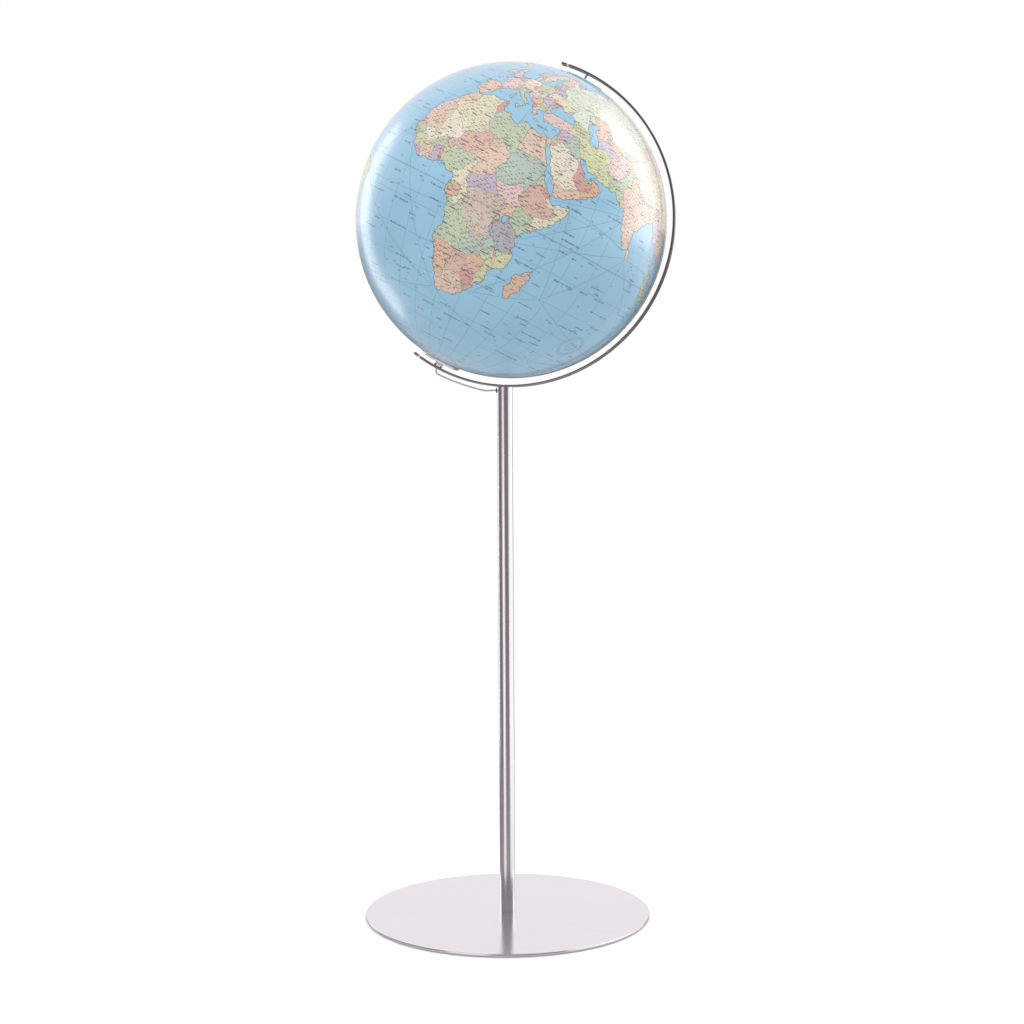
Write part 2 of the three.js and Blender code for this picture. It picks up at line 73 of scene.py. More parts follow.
# ------------------------------------------------------------------------------ the printed map
class Tint(Enum):
    """Pale printing inks of a political map, as linear-light colours."""

    OCEAN = (0.225, 0.415, 0.550)
    CREAM = (0.600, 0.530, 0.430)
    PEACH = (0.560, 0.415, 0.320)
    ORANGE = (0.540, 0.360, 0.250)
    ROSE = (0.520, 0.345, 0.290)
    PINK = (0.580, 0.420, 0.400)
    RED = (0.500, 0.270, 0.230)
    BEIGE = (0.460, 0.385, 0.310)
    KHAKI = (0.560, 0.520, 0.380)
    LIME = (0.470, 0.490, 0.280)
    GREEN = (0.385, 0.445, 0.310)
    TEAL = (0.345, 0.420, 0.360)
    LILAC = (0.420, 0.345, 0.420)
    VIOLET = (0.340, 0.315, 0.340)
    PALE = (0.520, 0.560, 0.440)
    ICE = (0.290, 0.465, 0.580)


# Coasts as longitude and latitude in degrees, one loop for each land or island.
COASTS = """
-5.9 35.8 -5.3 35.9 -4.5 35.2 -3 35.3 -2 35.1 -.6 35.8 .5 36.3 3 36.9 5.2 36.8 7.3 37.1 9.8 37.3 10.3 37.2
 10.4 36.5 11 37 10.5 36 11.1 35.2 10.1 34.3 10.8 33.7 11.3 33.2 13.2 32.9 15.2 32.3 15.8 31.3 18 30.6 19.2
 30.3 20.1 31.1 19.9 31.9 21.6 32.9 23.2 32.5 25 31.6 27.2 31.3 29.1 30.8 30.2 31.4 31.1 31.6 32.3 31.2 32.5
 30 32.7 29.6 33.5 27.9 34.2 26.5 35.4 24.2 35.6 23.4 36.9 22 37.2 21 37.4 18.8 38.5 18 39.2 15.8 40.2 14.9
 41.7 13.5 43.1 12.6 43.3 11.5 44.4 10.4 46 10.7 48.5 11.3 51.2 11.9 51.1 10.5 50.8 9.4 49.5 6.7 48 4.4 46
 2.4 44 1 42.6 -.4 41.5 -1.8 40.2 -2.6 39.3 -4.7 38.8 -6.2 39.5 -7 39.4 -8.6 40.3 -10.4 40.6 -12.8 40.7 -14.9
 39.1 -16.8 37 -17.9 35 -19.8 35.5 -22 35.4 -23.9 33 -25.3 32.6 -26.1 32.9 -27.5 31.4 -29.3 30 -31.2 28.2
 -32.8 25.7 -33.9 23 -34.1 20 -34.8 18.5 -34.2 18.2 -32.6 17.2 -30 16.4 -28.5 15.2 -26.8 14.5 -23 13.3 -20.4
 11.8 -18 11.8 -16 12.5 -14 13.7 -12.2 13.3 -9.6 13 -8.5 12.2 -6 11.8 -4.6 9.8 -2.5 8.9 -.8 9.4 .4 9.7 2 9.6
 3.8 8.6 4.6 7 4.4 6 4.3 5 5.6 4.4 6.3 2.7 6.4 1 5.9 -1 5.1 -2 4.8 -4 5.3 -5.5 5.1 -7.6 4.4 -9.2 5.6 -11.4
 6.8 -13 8 -13.3 9.3 -14.8 10.9 -16.7 12.3 -16.8 13.4 -17.5 14.7 -16.5 16 -16.2 18.8 -17 21 -16.3 22.5 -15.8
 23.9 -14.5 26.2 -12.9 27.9 -11.2 28.6 -9.8 30 -9.6 31.4 -8.3 33.2 -6.8 34.1/49.3 -12 50.2 -15.5 49.6 -16
 49.4 -18 48 -22 47.1 -25 45.2 -25.6 43.7 -23.5 43.4 -21.8 44.4 -20 44 -17.5 44.5 -16.2 46.3 -15.7 47.9 -13.6
/32.5 30 33.2 28.6 34.2 27.8 34.9 29.5 35.1 28.1 36.6 25.9 37.3 24.2 38.9 21.9 39.2 20.6 41 18.6 42.3 16.7
 42.8 15 43.2 13 45 12.8 47.5 13.6 50 15 52.2 16 54 17 55.2 17.5 57.7 19.1 58.8 20.6 59.8 22.5 58.5 23.7 56.6
 24.6 56.3 26.2 55.2 25.4 54 24.2 51.6 24.2 51.6 25.9 50.8 25.6 50.1 26.6 48.8 28 48 29.8 49.5 30.2 50.9 29
 51.5 27.9 54.5 26.6 56.6 27.1 57.2 25.8 59.5 25.5 61.7 25.1 66.5 25.4 67.4 24 68.8 22.5 70.2 22.5 69 22 70.4
 20.8 72.3 21.5 72.8 19 73.4 16 74.8 13 76.2 10 77.5 8.1 78.2 9 79.9 10.3 80.2 13 80.2 15.5 82.3 16.7 85 19.5
 87 21.3 88.8 21.7 90.6 22.5 91.8 22.4 92.3 20.7 94.3 18.3 94.4 16 96 16.2 97.3 16.9 97.7 14.9 98.6 12 98.3 8
 100.3 6.3 101.3 3 103.4 1.3 104.2 1.4 103.4 4.2 102.2 6.2 100.6 7.3 99.3 9.4 99.9 11.8 100.1 13.4 100.9 13.4
 101 12.7 102.6 12 103.6 10.6 104.8 8.7 106.7 10.3 109.2 11.6 109.2 13.6 108.2 16.2 106.1 18 105.8 19.4 106.7
 20.6 108.1 21.6 109.8 21.5 110.1 20.3 110.6 21.3 113.6 22.2 116.7 23.3 119 25.4 120.8 28 121.9 29.9 120.9
 30.4 121.9 31.7 120.3 34.2 119.2 35 120.6 36.1 122.5 37 120.8 37.8 118.9 37.5 117.8 38.5 118.9 39.2 121.5
 40.8 121.2 38.8 124.3 39.9 125.2 38 126.6 37 126.3 34.6 129.1 35.2 129.4 37 127.6 39.6 129.8 41.5 132 43.2
 135.2 44.2 138.5 47 140.5 50.5 141.2 52.5 139 54 137 54 138 56 143 59.3 148 59.5 152 59 155 59.5 157 61.6
 160 61.5 163.5 62.5 160 60 156 57 156 53 156.7 51 158.5 53 162 56 163 58 166 60 170.3 60 177 62.5 179 63 180
 65 180 69 171 70 160 69.6 152 71 141 72.5 130 71 128 73 114 73.6 113 76 104 77.6 90 75.5 81 73.5 80 72.3 74
 73 73 71.5 69 73 67 71.3 68.5 68.5 60 69 54 68.3 46 68.3 44 66.5 41 66.8 38 64.5 35 64.2 33 66.7 41 66.2 40
 67.8 33 69.4 28 71 21 70.1 15 68.2 12 65.4 8.5 63.4 5 61.8 5.2 59 7 58 10.6 59.3 11.3 58.8 12.7 56 14.3 55.5
 16 56.3 16.8 58.6 19 59.8 17.2 60.8 17.5 62.4 21.5 64.4 22.3 65.8 25.2 65 21.5 63 21.3 60.9 24 60 28 60.5 30
 59.9 26 59.6 23.5 59.2 24.2 57.2 21.5 57.4 21 55.3 19.7 54.4 16.5 54.5 14 54 10.9 54 10.5 57.6 8.2 57 8.3
 55.5 8.8 53.8 5 53.3 3.5 51.5 1.6 50.9 .2 49.6 -1.6 49.6 -1.5 48.7 -4.7 48.5 -2.5 47.3 -1.2 46 -1.5 43.5 -8
 43.7 -9.2 43 -8.8 41 -9.5 38.8 -8.9 37 -7 37.1 -5.6 36 -2.2 36.8 -.5 38.3 .2 39 -.2 39.8 3.2 41.9 3.2 43.1 6
 43.1 8.7 44.4 10.3 43.5 12.3 41.7 14.5 40.6 16 39.8 16 38 17.1 39 16.6 40.3 18.4 39.9 18.4 40.3 16 41.5 14
 42.5 12.4 44.2 12.5 45.4 13.8 45.5 13.9 44.8 15.2 44.2 17 43 19.4 41.8 19.4 40.5 21.2 38.5 21.5 37 22.8 36.5
 23.8 38 22.9 40.4 24 40.1 26.2 40.8 28.5 41 29 41 27.5 40.3 26.2 39.4 27 38 28 36.7 30.6 36.7 32.5 36.1 34.6
 36.7 36.1 36.3 35.8 34.5 34.9 32.5 34.2 31.3 32.3 31.2/-180 65 -176 65.3 -173 64.3 -170 66 -173 67 -180 69
/-77.4 8.7 -79.5 9.6 -81.5 8.8 -83.6 11 -83.3 15 -86 15.9 -88.3 15.8 -88.2 18.5 -86.9 21.4 -90.3 21 -91 18.7
 -94.4 18.2 -97.2 20.5 -97.8 22.5 -97.2 25.9 -97 28 -94.5 29.5 -90.5 29.2 -89.3 30.3 -85.5 30 -84 30 -82.7 28
 -81.7 25.9 -80.4 25.3 -80.1 27 -81.4 30.7 -79 33.2 -75.6 35.3 -76 37 -74 39.7 -73.9 40.6 -70 41.7 -70.8 43
 -67 44.8 -65.5 43.5 -61 45.5 -64.7 46.2 -64.9 48.3 -69 48.5 -65 50.2 -60 50.2 -55.8 52.6 -57.5 54.6 -61.6
 57.2 -64.5 60.3 -69.6 61 -73.6 62.4 -78 62.4 -78.5 58.7 -76.7 57.2 -76.7 55.5 -79.7 54.7 -79 51.5 -82 52.9
 -82.3 55 -88 56.6 -92.5 57 -94.7 58.7 -94.5 61 -91 63 -88 64.2 -86 66.3 -82 67 -81.5 69.4 -86 69.7 -88 68.5
 -94 69 -95 71.9 -98 70 -103 68 -109 68 -115 67.9 -115.2 69.2 -124 69.5 -129 70 -135.5 69 -141 69.6 -150 70.4
 -156.5 71.3 -163 69.5 -166 68.4 -162 66.5 -168 65.6 -161 64.3 -165 61.8 -162 59 -158 58.5 -164 54.7 -155 58
 -151.7 60.5 -146 60.8 -140 59.7 -135 58 -130.5 55 -127.5 51 -123 49 -124.6 47.5 -124.2 43 -122.5 37.5 -120.6
 34.5 -117.3 33 -114.8 29 -112 26.5 -109.6 23 -112 28 -114.7 31.7 -112.2 29.2 -109.4 25.7 -105.6 22 -105.3 20
 -101.7 17.7 -96.5 15.7 -94 16.2 -91.5 14 -87.6 13 -85.7 10.5 -83 8.4 -80.3 7.4 -78.3 8.6 -77.9 7.3/-77.9 7.3
 -77.3 4 -78.9 1.4 -80.1 0 -81 -2.2 -79.9 -3.3 -81.2 -5 -79.8 -7.2 -76.3 -13.9 -71.4 -17.7 -70.3 -19.5 -70.5
 -25 -71.6 -30 -73.5 -37 -74 -42 -75.6 -47 -75 -51 -72 -53.8 -68.3 -52.5 -69 -50.5 -65.8 -47.5 -67.5 -46 -65
 -43 -65.1 -41 -62.2 -40.5 -62 -38.9 -57.6 -38.2 -57 -36.3 -58.5 -34.4 -55 -34.9 -53.5 -33.8 -50.2 -30.2
 -48.6 -28 -48.5 -25.7 -44.7 -23.1 -41.9 -23 -40.9 -22 -39.2 -17.8 -39 -13 -37 -11 -35 -8.5 -35.4 -5.2 -38.5
 -3.7 -41.5 -2.9 -44.3 -2.6 -48 -.7 -50.5 .5 -50 1.8 -51.7 4.2 -57 6 -60 8.5 -62 10.7 -68 10.6 -70 12.2 -71.5
 11 -74 11.2 -75.6 10.5 -77.4 8.7/-68.6 -52.7 -65.3 -54.7 -69 -55.4 -72 -54.2/-46 60 -51.5 64 -53.5 67.5
 -51.5 70.5 -58 75 -68 76.2 -72 78.3 -64 81.3 -45 82.8 -30 83.6 -17 80.5 -19 76.5 -22 72 -25 70.3 -32 68 -39
 65.5 -42.5 62/-24 65.6 -22 66.4 -16 66.5 -13.6 65 -18.5 63.4 -22.6 63.9/-5.6 50.1 1.3 51.1 1.7 52.7 .2 53.3
 -1.6 55.5 -2 57.6 -3 58.6 -5.2 58.4 -6 56.6 -4.8 54.8 -3.1 53.6 -4.5 53.2 -5.2 51.9 -3 51.4/-6.2 52.2 -10
 51.6 -10 54.2 -7.3 55.3 -5.6 54.5/12.5 38 15.6 38.2 15.1 36.7/8.3 39 9.7 39.2 9.2 41.2 8.2 40.8/8.7 41.6 9.5
 42.9 9.4 41.5/23.6 35.4 26.2 35.1 24.8 34.9/32.4 35 34.4 35.6 33 34.6/2.4 39.6 3.3 39.9 3 39.3/11 79.7 25
 80.2 20 78 16 76.7 13 78.3/52 71.5 56 73.5 68 76.8 60 76 55 74 57 70.7/95 79 105 79.5 98 80.8/53.3 12.6 54.5
 12.5 53.8 12.3/43.2 -11.4 43.5 -11.9 43.2 -11.9/55.3 -20.9 55.8 -21.3 55.3 -21.2/57.4 -20 57.8 -20.3 57.4
 -20.5/79.8 8 80.3 9.8 81.8 7.5 80.6 5.9 79.9 6.8/95.3 5.6 98.5 3.8 103.5 -.3 106 -3.1 105.7 -5.8 102.3 -4 99
 .2/105.3 -6.7 108.5 -6.7 114.4 -7.5 114.4 -8.6 108 -7.8/109 1.5 111.4 2.5 113.5 3.5 116.8 6.9 119.2 5 117.6
 3.2 118.9 1 116.3 -3.8 111 -3 109.2 -.5/119.5 -3 119.9 .8 125 1.5 120.5 .5 121 -1 123.3 -1 121.6 -2 122.5 -5
 120.4 -3 120.4 -5.6 119.4 -5.4/131 -.8 134 -.8 135 -3.3 138 -1.6 145 -4.5 147.8 -6.5 150.8 -10.5 146 -9 143
 -9.2 138 -8.3 138 -6 133 -4 132 -2.8/114 -22 113.6 -26 115.7 -32 115 -34.3 118 -35 124 -33.2 131 -31.5 135.5
 -34.8 138 -33.2 140 -38 144 -38.6 147 -38.7 150 -37.3 151.5 -33 153.5 -28.5 153 -25.3 149 -21 146 -19 145.4
 -15 142.6 -10.8 141.6 -14 140.8 -17.5 138 -16.8 135.5 -15 137 -12.2 132.5 -11.5 130 -13 129 -15 126 -14 122
 -18 117 -20.6/144.7 -40.8 148.3 -40.9 147 -43.6/172.7 -34.5 175.5 -36.7 178.5 -37.7 177 -39.6 175.2 -41.6
 173.8 -39.3 174.7 -37.4/172.7 -40.5 174.3 -41.8 171.2 -44.3 169 -46.6 166.5 -45.9 170.5 -42.9/130.9 34 135.5
 33.5 138.8 34.6 140.8 35.7 142 39.5 141.4 41.4 140 40.5 139.5 38.3 137 37 136 35.6 132.5 35.4/129.7 33 131.7
 33.6 131.3 31.3 130.2 31.2/132.5 33.2 134.6 34.2 133.2 33.4/140 41.5 141.7 45.4 145.3 43.4 143.2 42/142.2 46
 142 54 143.5 52 143.4 49 142.8 47.3/120.1 23 121.5 25.3 121 22/108.7 19.3 110.8 20.1 110 18.4/120.5 18.4
 122.2 18.4 121.6 14 124 13 120.7 13.8 119.9 16.3/122 7 125.4 9.7 126.5 7.5 125.4 6/122.5 11.6 125.5 12.3
 123.5 9.3/-84.9 21.9 -80.5 23.1 -74.2 20.2 -77.6 19.9 -78 21.2/-74.4 18.5 -72.8 19.9 -68.4 18.6 -71.5 17.8
/-59.3 47.7 -55.5 51.5 -52.8 47.2/-64.5 63.3 -61.5 66.6 -68 70.3 -78 73.2 -88 73.5 -86 70.8 -74 68.4 -73 65
 -71 62.8/-116 73 -106 73 -102 70 -105 68.8 -116 69.3/-77 76.5 -90 77 -95 80 -85 82 -63 82.8 -68 80.5/-124 71
 -119 74 -117 72/-80 75.5 -93 76.5 -92 74.8/-128 50.8 -123.6 48.5 -125 49/-156 20 -155 19.5 -155.7 19/178
 -17.5 178.6 -17.8 177.5 -18.2/164 -20.2 167 -22.3 165 -21.3/-61 -51.5 -57.8 -51.6 -60 -52.2
"""

# Inland waters, printed in the ocean's tint.
LAKES = """
28.2 41.6 27.7 42.5 28.6 43.8 30.2 45.8 33 46.1 32.6 45.4 33.6 44.4 36.4 45.3 35 46.3 38.5 47.1 38 46 37.4 45
 39.5 43.8 41.6 42 41 41.1 38 40.9 35.2 42 31.5 41.3 29.2 41.3/47 44.8 49 46.4 53 46.9 53.2 45.3 51 44.5 52.7
 42 52.9 40.8 53.9 39 53.9 37 50.5 37 49 38.4 49.6 40.3 47.6 42.8/58.5 45 60.5 46.5 61.5 44.8 59.5 43.8/31.8
 -.5 33 .3 34.2 0 33.7 -1.8 32.8 -2.6 31.8 -2/29.2 -3.4 29.8 -5.5 31.1 -8.6 30.6 -8.6 29.2 -6/34 -9.6 34.9
 -11.6 35.2 -14 34.5 -13.5 34.1 -11.5/13.6 13.2 14.6 13.4 14.2 12.6/104 51.6 109.8 55.6 109 53.5/-92 46.8 -88
 48.8 -84.7 46.6 -87.5 46.6/-87.8 42 -86.3 41.9 -86.2 44.8 -85 45.9 -87.8 44.5/-84.5 46 -80 45 -82.4 43.1
 -83.4 45/-123 66 -119 66.5 -120 65/-117 61.5 -110 62.7 -114 61.5/-99 53.8 -97 50.5 -96.5 52.5
"""

# Ice-covered southern land as one coast from west to east.
SOUTH_COAST = """
-180 -78 -160 -77.5 -150 -77 -125 -73.8 -100 -72.5 -80 -73 -68 -68 -58 -63.3 -62 -67 -61 -74 -50 -78 -35 -78
 -20 -73.5 0 -70 20 -70 40 -69 55 -66.5 70 -68.5 72 -70 80 -67.5 100 -66 120 -66.5 140 -66.7 160 -70 170
 -71.5 165 -77.5 180 -78
"""

# Borders as open lines. Their ends run a little past the coast, where they are trimmed.
BORDERS = """
-2.2 35.4 -1.8 33 -1.2 32.3 -3.6 30.9 -5.5 29.8 -8.7 28.7 -8.7 27.7/-13.5 27.7 -8.7 27.7/-8.7 27.7 -8.7 26
 -12 26 -12 23.4 -13 23 -13.1 21.3 -17.4 21.2/-8.7 27.3 -4.8 25 1.2 21.1 3 19.2 4.2 19.2/-4.8 25 -6.5 24.9
 -5.5 15.5 -9.3 15.5 -12.2 14.8/-12.2 14.8 -14.5 16.6 -16.9 16/4.2 19.2 6 19.6 12 23.5/12 23.5 9.5 26.4 9.8
 29 9.4 30.2/9.4 30.2 9 32.2 7.6 33.5 8.2 34.8 8.5 37.3/9.4 30.2 10.3 31.8 11.5 33.4/12 23.5 14.2 22.6 15 23
 24 19.5/15 23 15.5 20.8 15.5 17 13.4 14.4 13.6 13.7/25 31.9 24.8 30.5 25 22/25 22 25 20 24 20 24 19.5/25 22
 37.2 22/24 19.5 24 15.7 22.5 14.1 22 12.6 22.9 11/4.2 19.2 4.2 16.9 3.5 15.4 1 15 .2 14.9/3.6 11.7 4.1 13.5
 7 13 9 12.8 11.5 13.3 13.6 13.7/.2 14.9 1.2 13 2.4 11.9 3.6 11.7/.2 14.9 -2 14.2 -4 13.2 -5.5 11 -5.5 10.4
/-5.5 10.4 -4.7 9.7 -2.8 9.7 -2.8 11 0 11.1 1 11 2.4 11.9/-2.8 9.7 -2.5 8.2 -3.2 6.5 -3 4.9/0 11.1 .5 8.5 1.2
 5.8/1 11 1.6 9 1.7 6.1/3.6 11.7 2.8 9 2.7 6.2/-5.5 10.4 -8 10.2 -8.2 8 -7.5 5.8 -7.5 4.2/-8 10.2 -9 12.4
 -11.4 12.2 -12.2 14.8/-11.4 12.2 -13.7 12.6 -16.9 12.4/-13.7 12.6 -13.8 11.5 -15.2 10.8/-13.5 9 -11 10 -10.3
 8.5 -11.6 6.6/-10.3 8.5 -9.3 7.4 -8.2 7.6/-17 13.4 -13.8 13.5/8.5 4.5 9 6 11.5 7 12.2 8.5 13.8 11 14.1 12.9
/14.1 12.9 15 11.5 15.5 10 14 10 15.5 7.5/15.5 7.5 18.5 8.2 20.5 9.2 22.9 11/22.9 11 24.2 8.7/24.2 8.7 27.4
 5.1/15.5 7.5 14.5 6 14.6 4.6 16.2 2.2/9.6 2.2 13.3 2.2 16.2 2.2/13.3 2.2 14.2 1.4 14.4 -1.5 13 -2.3 11 -3.9
/16.2 2.2 17.8 -.5 16.2 -2.2 15.2 -4.4 13 -4.6 11.9 -5/16.2 2.2 18.6 3.5 18.6 4.3 22.5 4.1 27.4 5.1/11.3 2.2
 11.3 1 9.3 1/24.2 8.7 26 10.3 28 9.4 30 10 32.4 12 33.1 12.2 34 9.5/27.4 5.1 29.5 4.5 30.9 3.5/30.9 3.5 34
 4.2 35.9 4.6/34 9.5 33 7.8 35 5.5 35.9 4.6/34 9.5 35 12 36.2 14.3 37 17 38.7 18.2/36.2 14.3 39 14.6 41 14.4
 42.6 12.4/42.4 12.5 41.8 11 43.4 11.5/41.8 11 43 9.5 44 9 47 8 48 8 45 5 42 4.2 41 3.9/35.9 4.6 37 4.3 39
 3.5 41 3.9/41 3.9 41 -.8 41.7 -1.8/34 4.2 34.5 1 33.9 0 34 -1/34 -1 37.6 -3 39.4 -4.8/30.9 3.5 31.3 2.2 29.9
 .5 29.6 -1.3/29.6 -1.3 30.5 -1 34 -1/29.6 -1.3 29 -2.7 29.3 -4.4 30.8 -3.3 30.8 -2.3 30.5 -1/29 -2.7 30.8
 -2.4/29.3 -4.4 29.6 -6.5 30.8 -8.3 33 -9.4 34 -9.6/33 -9.4 33.5 -12.3 32.7 -13.7 34.4 -14.5 35.3 -16.8 35.8
 -15/34.6 -11.5 37 -11.6 40.7 -10.4/34.7 -12 35.8 -14.5 35.8 -15/30.8 -8.3 28.7 -9.2 28.5 -11.8 29.8 -12.2
 29.8 -13.4 27 -12 24.4 -11 24 -12.9/12.1 -6 16.5 -6 17 -7.5 19.5 -7 21.8 -7.4 22.3 -10.9 24.1 -11/24 -12.9
 22 -13 22 -16.2 23.3 -17.6/11.6 -17.2 14 -17.4 18.4 -17.4 21 -18 23.3 -17.6/23.3 -17.6 25.2 -17.8/21 -18 21
 -22 20 -22 20 -24.8/16.2 -28.6 17.5 -28.8 20 -28.4 20 -24.8/20 -24.8 20.8 -26.8 22.7 -25.4 25.5 -25.7 27
 -23.6 29.4 -22.2/25.2 -17.8 26.2 -19.8 27.8 -21 29.4 -22.2/25.2 -17.8 27 -17.9 28.9 -16 30.4 -15.7/30.4
 -15.7 30.3 -14.9 33 -14/30.4 -15.7 32.9 -16.8 32.7 -19 32.4 -21.3 31.3 -22.4/29.4 -22.2 31.3 -22.4/31.3
 -22.4 32 -24.5 32 -26 32.1 -26.8 33.1 -26.8/32 -26 31 -26 31 -27.3 32.1 -27.2/27 -29.6 28.6 -28.6 29.4 -29.5
 28.2 -30.6 27 -29.6/34.2 31.5 34.9 29.3/35 29.3 35.5 31.5 35.7 32.7 35.8 33.3 34.9 33.1/35.8 33.3 36.6 34.2
 35.7 34.7/34.9 29.3 36 29.2 37.5 30.3 37 31.5 39.2 32.1/35.7 32.7 36.8 32.3 38.8 33.4 39.2 32.1/38.8 33.4
 41.2 34.5 42.4 37.1/35.8 36 36.7 36.8 42.4 37.1 44.8 37.2/39.2 32.1 42 31.1 44.7 29.2 46.5 29.1 47.7 30.1
 48.3 30/46.5 29.1 47.5 28.6 48.7 28.5/44.8 37.2 45.5 35.9 46 33.5 47.7 31 48.7 29.8/42.6 16.4 44 17.4 47.5
 17 49 18.6 52 19/52 19 53.2 16.4/52 19 55 20 55.7 22 55.2 22.7/51.4 24.4 52.6 22.9 55.2 22.7 55.8 24.3 56.6
 24.9/50.7 24.8 51.6 24.4/44.8 37.2 44.4 39.8 43.5 41.1 41.4 41.5/44.4 39.8 46.5 38.9 49.1 38.4/43.5 41.1
 46.5 41.2 48.8 41.9/39.8 43.5 44 42.6 46.5 41.8/53.7 37.3 57 38.2 61.2 36.6/61.2 36.6 61 34 60.9 29.8 63
 27.2 61.6 24.9/60.9 29.8 66.3 29.9 69.5 32 71 34 71.5 36.3 74.8 37.2/61.2 36.6 64.5 36.2 66.6 37.4 71.2 38.4
 74.8 37.2/66.6 37.4 62 40 58.5 42.7 56 41.3 56 45 58.5 45.4/56 41.3 52.5 41.8/61 44.5 66 42 71 42.2 74 43 80
 42.3 80.3 45.3 87.3 49.1/71 42.2 70 40.5 74 39.8 74.8 37.2/80 42.3 76 40.4 74 39.8/48.8 46.3 47 48 47 50 51
 51.5 58 51 61.5 50.8 61 54 71 54.5 77 53.3 80 50.8 87.3 49.1/68 23.6 71 24.5 70 27.8 73.9 30 74.6 33 77.8
 35.5 74.8 37.2/77.8 35.5 79 32.5 81 30.2 88 27.9 92 27.8 97 28.3/81 30.2 80.2 28.8 84 27.4 88.1 26.5 88 27.9
/89 21.6 88.7 24.2 88.4 26.4 89.8 26 92.3 25.1 91.3 23.5 92.4 20.9/92.4 21.2 93.3 24 95.2 26.6 97 28.3/97
 28.3 97.6 24.5 101 21.6 100 20.3 97.8 18.5 98.8 15.5 99.2 12.5 98.5 10.2/100 20.3 101 17.6 104.6 17 105.5
 14.4 102.5 13.6 102.8 11.8/101 21.6 102.2 22.4 105 19.5 107.5 15.5 107.5 12.4 104.4 10.4/105.5 14.4 107.5
 14.6/102.2 22.4 105.5 23.2 108.1 21.5/100.1 6.6 102.1 6/87.3 49.1 91 45 97 42.7 105 41.6 111.8 45 119.8 46.7
 116.7 49.8/87.3 49.1 92 50.7 98 52 102 50.6 108 49.4 116.7 49.8/116.7 49.8 120 53.3 126 52.5 131 47.7 134.7
 48.4 133 45 130.6 42.2/124.2 40 128 42 130.6 42.4/126.4 37.8 128.5 38.6/-9 41.9 -6.5 41.9 -7 40 -7.4 37/-1.9
 43.5 3.3 42.4/7.5 43.6 7 45.9 6.1 46.3 7.5 47.6 8.2 49 6.2 49.6 4.2 50 2.4 51.2/3.3 51.5 6 51.2 6.2 49.6/6
 51.2 7 53.6/7 45.9 9 46 10.4 46.8 13.7 46.5/7.5 47.6 9.6 47.5 10.4 46.8/9.6 47.5 13 47.6 13.8 48.7/8.4 54.9
 10.1 54.8/14.3 54.2 14.8 51 12.2 50.3 13.8 48.7 17 48.6 18.8 49.5 14.8 51/13.7 46.5 16.1 46.8 17 48 17 48.6
/17 48 22.2 48.3/13.7 46.5 13.6 45.4/13.6 45.5 16.1 46.8 19 45.9 19 44.8 16 45 18.4 42.3/19 45.9 21 46.2 22.5
 44.5 22.6 42.5/21 46.2 22.2 48.3 26.6 48.2/22.5 44.5 25 43.7 28.8 43.8/26.6 48.2 28.2 45.4 29.9 45.1/22.6
 42.5 23 41.3 26.3 41.8 28.1 42/26.3 41.8 26 40.6/19.9 39.6 21 41 23 41.3/19.2 42 20.6 42 21 41/20.6 42 22.6
 42.5/18.8 49.5 22.6 49 23.6 51.5 23.5 54 19.6 54.5/22.2 48.3 22.6 49/23.6 51.5 31 52 31 54 28 56.2 26 55.7
 23.5 54/31 52 34 51.3 36 50.3 40 49.5 38.3 46.9/28 56.2 28 59.7/26 55.7 21 56.3/27.4 57.5 24.2 57.9/20.8
 55.3 23.5 54/28 60.4 31.5 62.8 29.5 65 30 67.7 28.6 69.2 31 69.9/24.2 65.5 20.6 69 28.6 69.2/20.6 69 16 67
 14 64.5 12.2 62 12 60 11.2 58.8/-123.2 49 -95 49 -89.5 48 -83.5 46 -82.5 42.5 -79 43 -75 45 -71 45 -67.5 47
 -66.8 44.9/-141 69.8 -141 60.3 -130.3 55.3/-117.4 32.5 -111 31.3 -106.5 31.8 -101 29.7 -97 25.9/-92.4 14.4
 -90.5 17.8 -88.1 18.5/-89.4 13.3 -89.3 14.4 -83.2 15/-85.9 11.1 -83.5 11/-83 8.3 -82.5 9.7/-71.4 11.6 -72.5
 8 -67.5 6 -67 1.2/-67 1.2 -70 .5 -70 -4.2 -75 -.2 -79 1.4/-75 -.2 -78 -3.2 -80.5 -3.4/-70 -4.2 -73.5 -7.5
 -70.5 -11 -69 -12.5 -69.5 -17.5 -70.6 -18.3/-70.5 -11 -65.3 -10 -60.2 -14 -58 -18 -58 -22 -54.3 -24 -54.6
 -25.6/-69.5 -17.5 -67 -22.8 -62.7 -22.2 -58 -20/-67 -22.8 -70 -30 -70.5 -36 -71.8 -42 -73 -50 -68.4 -52.6
/-62.7 -22.2 -57.7 -25.2 -56 -27.3 -54.6 -25.6/-56 -27.3 -57.6 -30.2 -58.4 -34.5/-57.6 -30.2 -53.3 -33.8
/-59.9 8.6 -61 6 -60 5 -64 4 -67 1.2/-60 5 -59.5 1.8 -52 2 -51.5 4.4/-57.3 6.2 -56.5 2/-54 6 -54.5 2.3/129
 -14.7 129 -31.9/138 -16.6 138 -26 141 -26 141 -38.3/129 -26 138 -26/141 -29 153.6 -28.2/141 -34 150.2 -37.5
/141 -2.4 141 -9.4/109.4 2 115 2.5 117.8 4.2
"""

